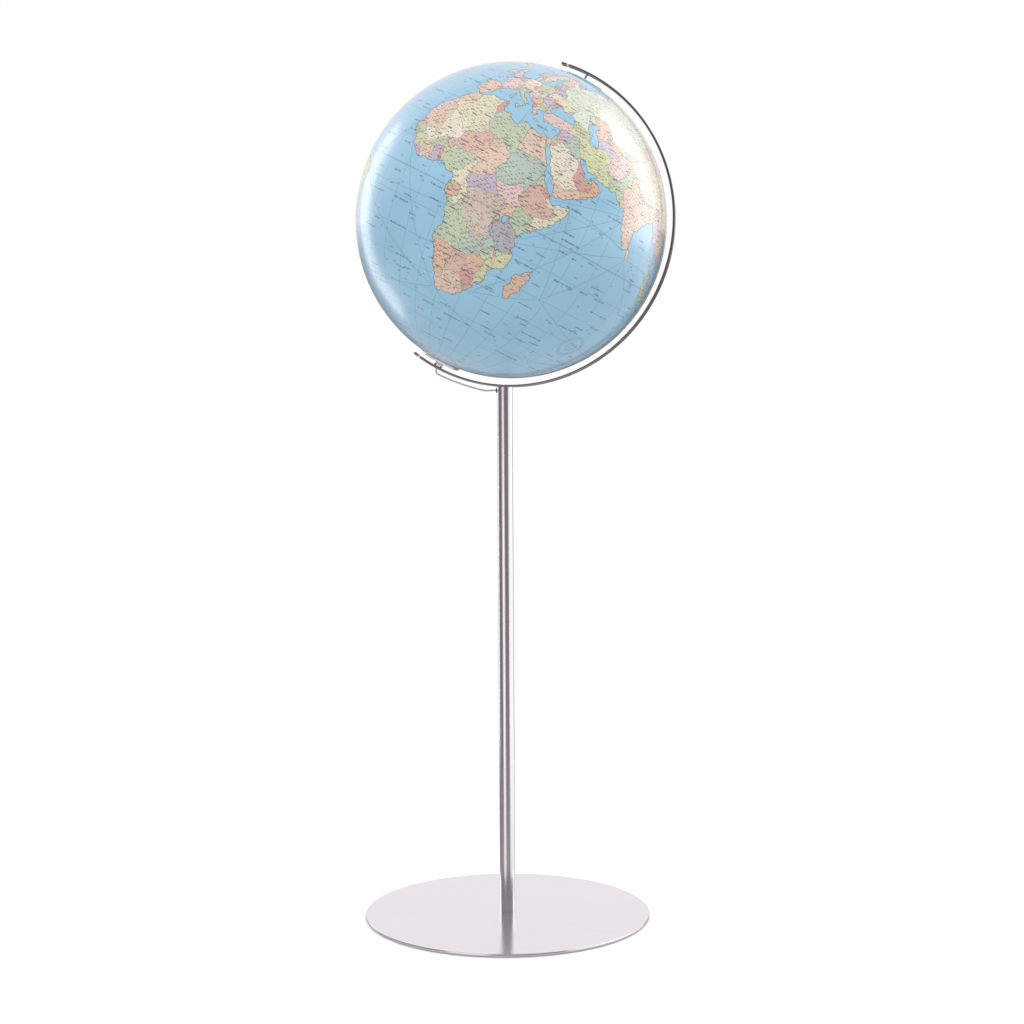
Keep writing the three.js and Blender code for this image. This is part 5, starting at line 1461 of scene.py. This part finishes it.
@dataclass
class Column:
    """The slim tube between the base and the meridian band."""

    wall: float = 2 * MM
    ring_step: float = 12 * MM
    segments: int = 72
    grommet_hole: float = 2.8 * MM
    inlet_hole: float = 4.2 * MM

    @property
    def grommet_z(self) -> float:
        """Height of the lead's hole."""
        return sum(corner.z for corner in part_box("lead_grommet")) / 2

    @property
    def inlet_z(self) -> float:
        """Height of the power inlet."""
        return sum(corner.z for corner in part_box("power_inlet")) / 2

    def build(self, finishes: Finishes, band: "Meridian") -> None:
        """Makes the tube, saddled under the band and drilled for the lead and the inlet.

        Args:
            finishes: the globe's materials.
            band: the band that the saddle fits.
        """
        low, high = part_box("column_tube")
        radius = (high.x - low.x) / 2
        saddle = band.outer + 0.1 * MM
        shape = bmesh.new()
        rings: list[list[bmesh.types.BMVert]] = []
        levels = max(2, int((high.z - low.z) / self.ring_step))
        for across, steps in ((radius, range(levels + 1)), (radius - self.wall, range(levels, -1, -1))):
            for level in steps:
                ring = []
                for step in range(self.segments):
                    angle = 2 * math.pi * step / self.segments
                    x, y = across * math.cos(angle), across * math.sin(angle)
                    top = band.centre.z - math.sqrt(saddle ** 2 - (x - band.centre.x) ** 2)
                    ring.append(shape.verts.new((x, y, low.z + (top - low.z) * level / levels)))
                rings.append(ring)
        for number, ring in enumerate(rings):
            following = rings[(number + 1) % len(rings)]
            for step in range(self.segments):
                after = (step + 1) % self.segments
                shape.faces.new((ring[step], ring[after], following[after], following[step]))
        mesh = bpy.data.meshes.new("steel_column")
        shape.to_mesh(mesh)
        shape.free()
        piece = finish_piece("steel_column", mesh, (finishes.by_slot["column_steel"],))
        drill(piece, [
            (Vector((-2 * radius, 0, self.grommet_z)), Vector((-2 * MM, 0, self.grommet_z)),
             self.grommet_hole, self.grommet_hole),
            (Vector((0, 2 * radius, self.inlet_z)), Vector((0, 2 * MM, self.inlet_z)),
             self.inlet_hole, self.inlet_hole),
        ])
        keep(piece, "stand", "column_tube", "brushed_steel")
        self._fittings(finishes, radius)

    def _fittings(self, finishes: Finishes, radius: float) -> None:
        """Makes the lead's grommet and the power inlet in the tube's wall."""
        black = finishes.by_slot["black_plastic"]
        bore, body, lip = 1.8 * MM, 2.6 * MM, 3.6 * MM
        outer, inner = radius + 0.9 * MM, radius - self.wall + 0.1 * MM
        profile = [(bore, -outer), (lip - 0.5 * MM, -outer), (lip - 0.15 * MM, -outer + 0.15 * MM),
                   (lip, -outer + 0.5 * MM), (lip, -radius - 0.1 * MM), (body, -radius - 0.1 * MM),
                   (body, -inner), (bore, -inner)]
        place = Matrix.Translation((0, 0, self.grommet_z)) @ Matrix.Rotation(math.pi / 2, 4, "Y")
        keep(finish_piece("rubber_grommet", turned_mesh(profile, place, 48), (black,)),
             "stand", "lead_grommet", "black_plastic")
        face, flange, barrel = radius + 1.3 * MM, 5.5 * MM, 4 * MM
        socket, pin = 2.9 * MM, 1 * MM
        profile = [(0.0, -1.5 * MM), (barrel - 0.6 * MM, -1.5 * MM), (barrel - 0.6 * MM, 4 * MM),
                   (barrel, 4 * MM), (barrel, radius + 0.1 * MM), (flange, radius + 0.1 * MM),
                   (flange, face - 0.35 * MM), (flange - 0.12 * MM, face - 0.12 * MM),
                   (flange - 0.35 * MM, face), (socket + 0.2 * MM, face), (socket, face - 0.2 * MM),
                   (socket, 3 * MM), (pin, 3 * MM), (pin, face - 1.8 * MM), (pin - 0.3 * MM, face - 1.5 * MM),
                   (0.0, face - 1.5 * MM)]
        place = Matrix.Translation((0, 0, self.inlet_z)) @ Matrix.Rotation(-math.pi / 2, 4, "X")
        keep(finish_piece("inlet_socket", turned_mesh(profile, place, 48), (black,)),
             "stand", "power_inlet", "black_plastic")


@dataclass
class Meridian:
    """The C-shaped band, its collars and its end tips, in the plane of X and Z."""

    centre: Vector
    pole_angle: float
    tree: Tree
    outer: float = 211.5 * MM
    thickness: float = 3 * MM
    width: float = 10 * MM
    edge: float = 0.45 * MM
    overhang: float = math.radians(9.8)
    tip: float = 6.7 * MM
    collar: float = 3.5 * MM
    collar_inset: float = 0.3 * MM
    slit: float = 0.15 * MM
    pin_hole: float = 1.7 * MM
    tube_hole: float = 3.7 * MM
    screw_hole: float = 2.6 * MM

    @property
    def mean(self) -> float:
        """Radius of the band's middle line."""
        return self.outer - self.thickness / 2

    def at(self, angle: float, radius: float | None = None) -> Vector:
        """A point in the band's plane at an angle from +X, on the middle line unless told."""
        reach = self.mean if radius is None else radius
        return self.centre + Vector((math.cos(angle), 0.0, math.sin(angle))) * reach

    def stretch(self, name: str, start: float, end: float, inset: float, steps: int,
                material: Material, tip: bool = False) -> Piece:
        """Makes one stretch of the band.

        Args:
            name: the piece's name.
            start: its first angle in radians.
            end: its last angle.
            inset: how far its faces lie inside the band's.
            steps: straight steps along it.
            material: its material.
            tip: whether its far end is rounded.

        Returns:
            The piece.
        """
        angles = [start + (end - start) * step / steps for step in range(steps + 1)]
        taper = [1.0] * len(angles)
        if tip:
            reach = 0.9 * MM / self.mean * math.copysign(1.0, end - start)
            for turn in (15, 30, 45, 60, 75):
                angles.insert(-1, end - reach * (1 - math.sin(math.radians(turn))))
                taper.append(1.0 - 0.35 * (1 - math.cos(math.radians(turn))))
            taper[-1] = 0.62
            taper = taper[:len(angles)]
        section = Section(self.width - 2 * inset, self.thickness - 2 * inset, self.edge)
        return swept_piece(name, self.tree, [self.at(angle) for angle in angles], section, material, taper)

    def build(self, finishes: Finishes) -> None:
        """Makes the band, both collars and both tips."""
        steel, bright = finishes.by_slot["band_steel"], finishes.by_slot["collar_steel"]
        tip_angle, collar_angle = self.tip / self.mean, self.collar / self.mean
        slit = self.slit / self.mean
        north, south = self.pole_angle + self.overhang, self.pole_angle - math.pi - self.overhang
        first, last = south + tip_angle + collar_angle, north - tip_angle - collar_angle
        band = self.stretch("steel_band", first, last, 0.0, 240, steel)
        reach = 9 * MM
        holes = []
        for angle, hole in ((self.pole_angle, self.pin_hole), (self.pole_angle - math.pi, self.tube_hole)):
            holes.append((self.at(angle, self.outer - reach), self.at(angle, self.outer + reach), hole, hole))
        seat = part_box("meridian_screw")[1].z
        bottom = Vector((0.0, 0.0, seat - 2.1 * MM))
        holes.append((bottom - Vector((0, 0, reach)), bottom + Vector((0, 0, reach)),
                      self.screw_hole, self.screw_hole))
        holes.append((bottom, bottom + Vector((0, 0, 3 * MM)), self.screw_hole, self.screw_hole + 3 * MM))
        drill(band, holes)
        keep(band, "stand", "meridian_arc", "band_steel")
        for side, end, inward in (("north", north, -1), ("south", south, 1)):
            tip_start = end + inward * tip_angle
            collar_start = tip_start + inward * collar_angle
            ring = self.stretch(f"{side}_collar", collar_start - inward * slit, tip_start + inward * slit,
                                self.collar_inset, 4, bright)
            keep(ring, "stand", f"{side}_end_collar", "polished_steel")
            cap = self.stretch(f"{side}_tip", tip_start, end, 0.0, 5, steel, tip=True)
            keep(cap, "stand", f"{side}_end_tip", "band_steel")


@dataclass
class Pivots:
    """The pin at the north pole, the bush and flange at the south pole and the printed cap disc."""

    place: BallFrame
    pin: float = 1.5 * MM
    bush: float = 6 * MM
    bush_bore: float = 5.2 * MM
    flange: float = 27.5 * MM
    flange_bore: float = 6.8 * MM
    flange_wall: float = 1.2 * MM
    flange_slope: float = 1.5 * MM
    cap: float = 27 * MM
    cap_hole: float = 3.2 * MM
    cap_gap: float = 0.3 * MM
    cap_wall: float = 1 * MM

    def build(self, finishes: Finishes, band: Meridian) -> None:
        """Makes every polar piece."""
        bright, plain = finishes.by_slot["polished_steel"], finishes.by_slot["fastener_steel"]
        stand = self.place.matrix()
        inner = self.place.radius - 3 * MM
        pin = rounded(self.pin, inner - 12 * MM, band.outer + 0.1 * MM, 0.35 * MM)
        keep(finish_piece("pole_pin", turned_mesh(pin, stand, 32), (plain,)),
             "stand", "north_pivot_pin", "fastener_steel")
        low, high = -(band.outer - band.thickness - 0.5 * MM), -(self.place.radius + 2.9 * MM)
        bush = [(self.bush_bore, low), (self.bush - 0.3 * MM, low), (self.bush, low + 0.3 * MM),
                (self.bush, low + 2.5 * MM), (self.bush - 0.35 * MM, low + 2.7 * MM),
                (self.bush - 0.5 * MM, low + 3 * MM), (self.bush - 0.35 * MM, low + 3.3 * MM),
                (self.bush, low + 3.5 * MM), (self.bush, high - 0.3 * MM), (self.bush - 0.3 * MM, high),
                (self.bush_bore, high)]
        keep(finish_piece("turned_bush", turned_mesh(bush, stand, 72), (bright,), 50.0),
             "stand", "south_bush", "polished_steel")
        satin = finishes.by_slot["collar_steel"]
        keep(finish_piece("opening_flange", turned_mesh(self._flange_profile(), stand, 120), (satin,)),
             "ball", "south_flange", "polished_steel")
        keep(finish_piece("polar_disc", turned_mesh(self._cap_profile(), stand, 144),
                          (finishes.by_slot["polar_cap"],)), "ball", "north_polar_cap", "polar_cap")

    def _flange_profile(self) -> list[Point]:
        """The flange's section: flat outside, a sloping rim, and a seat that follows the ball."""
        seat = self.place.radius + self.cap_gap
        low = -(seat + self.flange_wall)
        foot = self.flange - self.flange_slope
        rim = -math.sqrt(seat ** 2 - self.flange ** 2)
        points = [(self.flange_bore, low), (foot - 0.8 * MM, low), (foot - 0.4 * MM, low),
                  (foot, low + 0.15 * MM), (self.flange - 0.1 * MM, rim - 0.35 * MM),
                  (self.flange, rim - 0.15 * MM)]
        start, steps = self.flange - 0.2 * MM, 8
        for step in range(steps + 1):
            radius = start + (self.flange_bore - start) * step / steps
            points.append((radius, -math.sqrt(seat ** 2 - radius ** 2)))
        return points

    def _cap_profile(self) -> list[Point]:
        """The thin disc's section: two arcs that follow the ball, with a rounded outer rim."""
        under = self.place.radius + self.cap_gap
        over = under + self.cap_wall
        points: list[Point] = []
        rim = self.cap / over
        hole = self.cap_hole / over
        for radius, start, end, steps in ((over, rim - 0.35 * MM / over, hole, 16), (under, hole, rim, 16)):
            for step in range(steps + 1):
                angle = start + (end - start) * step / steps
                points.append((radius * math.sin(angle), radius * math.cos(angle)))
        points.append(((over - 0.35 * MM) * math.sin(rim), (over - 0.35 * MM) * math.cos(rim)))
        return points


@dataclass
class LampLead:
    """The thin lead from the lamp, under the band and down the column to the inlet."""

    band: Meridian
    radius: float = 1.1 * MM
    hole_height: float = 684.5
    steps: int = 10

    def route(self) -> list[Vector]:
        """The lead's route in millimetres: beside the band first, then down inside the column."""
        south = self.band.pole_angle - math.pi
        beside = ((138, 0), (170, 0), (200, 0), (211, 0), (214.4, 0.15), (216.6, 0.75), (217.3, 1.8),
                  (217.2, 3.5), (217.2, 7), (217.5, 11), (217.9, 15), (218.4, 19))
        hole = self.hole_height
        inside = ((-14, 0, hole + 0.2), (-10, 0, hole), (-7.6, 0, hole - 0.5), (-5.8, 0, hole - 2),
                  (-5.3, 0, hole - 4.5), (-5.3, 0, hole - 12), (-5.3, 0, hole - 24), (-3.5, -1.5, 600),
                  (1.5, -2.5, 420), (-1, -4.5, 220), (0, -5.6, 80), (0, -6, 56), (0, -5.2, 50),
                  (0, -3.8, 46.6), (0, -2, 45.4))
        points = [self.band.at(south + math.radians(turn), reach * MM) for reach, turn in beside]
        return points + [Vector(spot) * MM for spot in inside]

    def smooth_route(self) -> list[Vector]:
        """The route with a centripetal curve drawn through its points."""
        points = self.route()
        points = [points[0] * 2 - points[1]] + points + [points[-1] * 2 - points[-2]]
        line: list[Vector] = []
        for a, b, c, d in zip(points, points[1:], points[2:], points[3:]):
            knots = [0.0]
            for first, second in ((a, b), (b, c), (c, d)):
                knots.append(knots[-1] + math.sqrt((second - first).length))
            for step in range(self.steps):
                t = knots[1] + (knots[2] - knots[1]) * step / self.steps
                line.append(self._blend((a, b, c, d), knots, t))
        line.append(points[-2])
        return line

    def _blend(self, corners: Sequence[Vector], knots: Sequence[float], t: float) -> Vector:
        """The curve's point at a knot value between its second and third corner."""
        level = list(corners)
        for span in (1, 2):
            following = []
            for i in range(len(level) - 1):
                share = (t - knots[i]) / (knots[i + span] - knots[i])
                following.append(level[i].lerp(level[i + 1], share))
            level = following
        return level[0].lerp(level[1], (t - knots[1]) / (knots[2] - knots[1]))

    def build(self, finishes: Finishes) -> None:
        """Makes the lead."""
        line = self.smooth_route()
        length = sum((second - first).length for first, second in zip(line, line[1:]))
        LOG.info("lead length %.3f m", length)
        section = Section(2 * self.radius, 2 * self.radius, self.radius, 5)
        piece = swept_piece("sheathed_lead", self.band.tree, line, section, finishes.by_slot["lead_sheath"])
        keep(piece, "stand", "lamp_lead", "lead_sheath")


# ------------------------------------------------------------------------------ the studio
@dataclass
class Studio:
    """Pale floor, soft lights, surroundings for the steel to mirror, and the camera."""

    azimuth: float = math.radians(12.45)
    distance: float = 2.1
    height: float = 0.6086
    pitch: float = math.radians(-2.226)
    roll: float = math.radians(-0.316)
    aim_turn: float = math.radians(0.232)
    lens: float = 56.93
    floor_radius: float = 1.05
    aim: Vector = field(default_factory=lambda: Vector((0.0, 0.0, 0.72)))

    def around(self, turn: float, rise: float, distance: float) -> Vector:
        """A place round the globe: turn in degrees from the camera to its right, rise in degrees."""
        angle = self.azimuth + math.radians(turn)
        flat = math.cos(math.radians(rise)) * distance
        offset = Vector((math.sin(angle) * flat, -math.cos(angle) * flat,
                         math.sin(math.radians(rise)) * distance))
        return self.aim + offset

    def camera(self) -> None:
        """Stands the camera where it sees the whole globe, a little from the right."""
        data = bpy.data.cameras.new("camera")
        data.lens = self.lens
        data.sensor_width = 36.0
        data.clip_end = 50.0
        spot = Vector((math.sin(self.azimuth) * self.distance, -math.cos(self.azimuth) * self.distance,
                       self.height))
        turn = self.azimuth - self.aim_turn
        ahead = Vector((-math.sin(turn) * math.cos(self.pitch), math.cos(turn) * math.cos(self.pitch),
                        math.sin(self.pitch)))
        right = Vector((math.cos(turn), math.sin(turn), 0.0))
        up = right.cross(ahead)
        side = right * math.cos(self.roll) + up * math.sin(self.roll)
        top = up * math.cos(self.roll) - right * math.sin(self.roll)
        rotation = Matrix((side, top, -ahead)).transposed().to_4x4()
        camera = bpy.data.objects.new("camera", data)
        camera.matrix_world = Matrix.Translation(spot) @ rotation
        bpy.context.scene.collection.objects.link(camera)
        bpy.context.scene.camera = camera

    def floor(self) -> None:
        """Lays the pale floor, which the polished parts don't mirror."""
        shape = bmesh.new()
        bmesh.ops.create_circle(shape, cap_ends=True, segments=96, radius=self.floor_radius)
        mesh = bpy.data.meshes.new("floor")
        shape.to_mesh(mesh)
        shape.free()
        material, nodes, shader = new_material("pale_floor")
        set_inputs(shader, {"Base Color": (0.90, 0.90, 0.90, 1.0), "Roughness": 0.9})
        mesh.materials.append(material)
        floor = bpy.data.objects.new("floor", mesh)
        floor.visible_glossy = False
        bpy.context.scene.collection.objects.link(floor)

    def lamp(self, name: str, turn: float, rise: float, distance: float, size: Point, power: float,
             mirrored: bool = True) -> None:
        """Hangs one soft box that faces the globe; one that isn't mirrored only lights it."""
        data = bpy.data.lights.new(name, "AREA")
        data.shape = "RECTANGLE"
        data.size, data.size_y = size
        data.energy = power
        light = bpy.data.objects.new(name, data)
        spot = self.around(turn, rise, distance)
        light.rotation_mode = "QUATERNION"
        light.rotation_quaternion = (self.aim - spot).to_track_quat("-Z", "Y")
        light.location = spot
        light.visible_glossy = mirrored
        bpy.context.scene.collection.objects.link(light)

    def surroundings(self) -> None:
        """Paints the room that only reflections see: dark and white screens round the globe."""
        world = bpy.data.worlds.new("studio")
        bpy.context.scene.world = world
        world.use_nodes = True
        nodes = Nodes(world.node_tree)
        background = world.node_tree.nodes["Background"]
        where = nodes.add("ShaderNodeTexCoord")
        split = nodes.add("ShaderNodeSeparateXYZ")
        nodes.link(where.outputs["Generated"], split.inputs[0])
        x, y, z = split.outputs
        towards = nodes.math("SUBTRACT", nodes.times(x, math.sin(self.azimuth)),
                             nodes.times(y, math.cos(self.azimuth)))
        rightwards = nodes.plus(nodes.times(x, math.cos(self.azimuth)),
                                nodes.times(y, math.sin(self.azimuth)))
        angle = nodes.math("ARCTAN2", rightwards, towards)
        share = nodes.plus(nodes.math("DIVIDE", angle, 2 * math.pi), 0.5)
        screens = nodes.add("ShaderNodeValToRGB")
        nodes.link(share, screens.inputs[0])
        ramp = screens.color_ramp
        dark, white, grey = (0.24, 0.205, 0.22), (1.25, 1.25, 1.25), (0.20, 0.185, 0.19)
        stops = [(-180, dark), (-50, dark), (-46, white), (-17, white), (-13, dark), (45, dark), (49, white),
                 (134, white), (140, grey), (180, grey)]
        while len(ramp.elements) < len(stops):
            ramp.elements.new(1.0)
        for element, (turn, shade) in zip(ramp.elements, stops):
            element.position = (turn + 180) / 360
        for element, (turn, shade) in zip(ramp.elements, stops):
            element.color = (*shade, 1.0)
        behind = self._ease(nodes, nodes.math("ABSOLUTE", angle), math.radians(95), math.radians(130))
        before = nodes.math("SUBTRACT", 1.0, behind)
        above = nodes.times(self._ease(nodes, z, 0.03, 0.10), before)
        room = nodes.mix(above, screens.outputs[0], (0.10, 0.09, 0.095))
        ceiling = nodes.times(self._ease(nodes, z, 0.24, 0.36), before)
        room = nodes.mix(ceiling, room, (0.62, 0.60, 0.61))
        sky = nodes.times(self._ease(nodes, z, 0.05, 0.13), behind)
        room = nodes.mix(sky, room, (1.0, 0.965, 0.985))
        room = nodes.mix(self._ease(nodes, z, -0.23, -0.31), room, (0.62, 0.62, 0.64))
        path = nodes.add("ShaderNodeLightPath")
        even = nodes.mix(path.outputs["Is Diffuse Ray"], room, (0.95, 0.95, 0.95))
        seen = nodes.mix(path.outputs["Is Camera Ray"], even, (1.0, 1.0, 1.0))
        nodes.link(seen, background.inputs["Color"])

    def _ease(self, nodes: Nodes, value: Socket, start: float, end: float) -> Socket:
        """Goes smoothly from 0 at the start value to 1 at the end value."""
        ramp = nodes.add("ShaderNodeMapRange", interpolation_type="SMOOTHSTEP")
        set_inputs(ramp, {"From Min": start, "From Max": end})
        nodes.link(value, ramp.inputs["Value"])
        return ramp.outputs[0]

    def build(self) -> None:
        """Sets the whole studio."""
        self.camera()
        self.floor()
        self.surroundings()
        self.lamp("left_strip", -129, 8, 1.8, (0.55, 2.3), 8)
        self.lamp("right_box", 103, 25, 1.9, (1.3, 1.9), 20)
        self.lamp("front_fill", -18, 38, 2.6, (1.6, 1.2), 31, mirrored=False)
        bpy.context.scene.view_settings.view_transform = "Standard"


def main() -> None:
    """Builds the globe and its studio."""
    logging.basicConfig(level=logging.INFO, format="%(message)s")
    place = ball_frame()
    finishes = Finishes()
    finishes.dress_frame()
    pole_angle = math.atan2(place.pole.z, place.pole.x)
    band = Meridian(place.centre, pole_angle, sweep_tree())
    Base().build(finishes)
    Column().build(finishes, band)
    band.build(finishes)
    Pivots(place).build(finishes, band)
    LampLead(band).build(finishes)
    ball = PrintedBall(place)
    inks = (finishes.by_slot["map_ink"], finishes.by_slot["sea_ink"])
    ball.build(finishes.groups, finishes.by_slot["shell_wall"], inks)
    Studio().build()


if __name__ == "__main__":
    main()
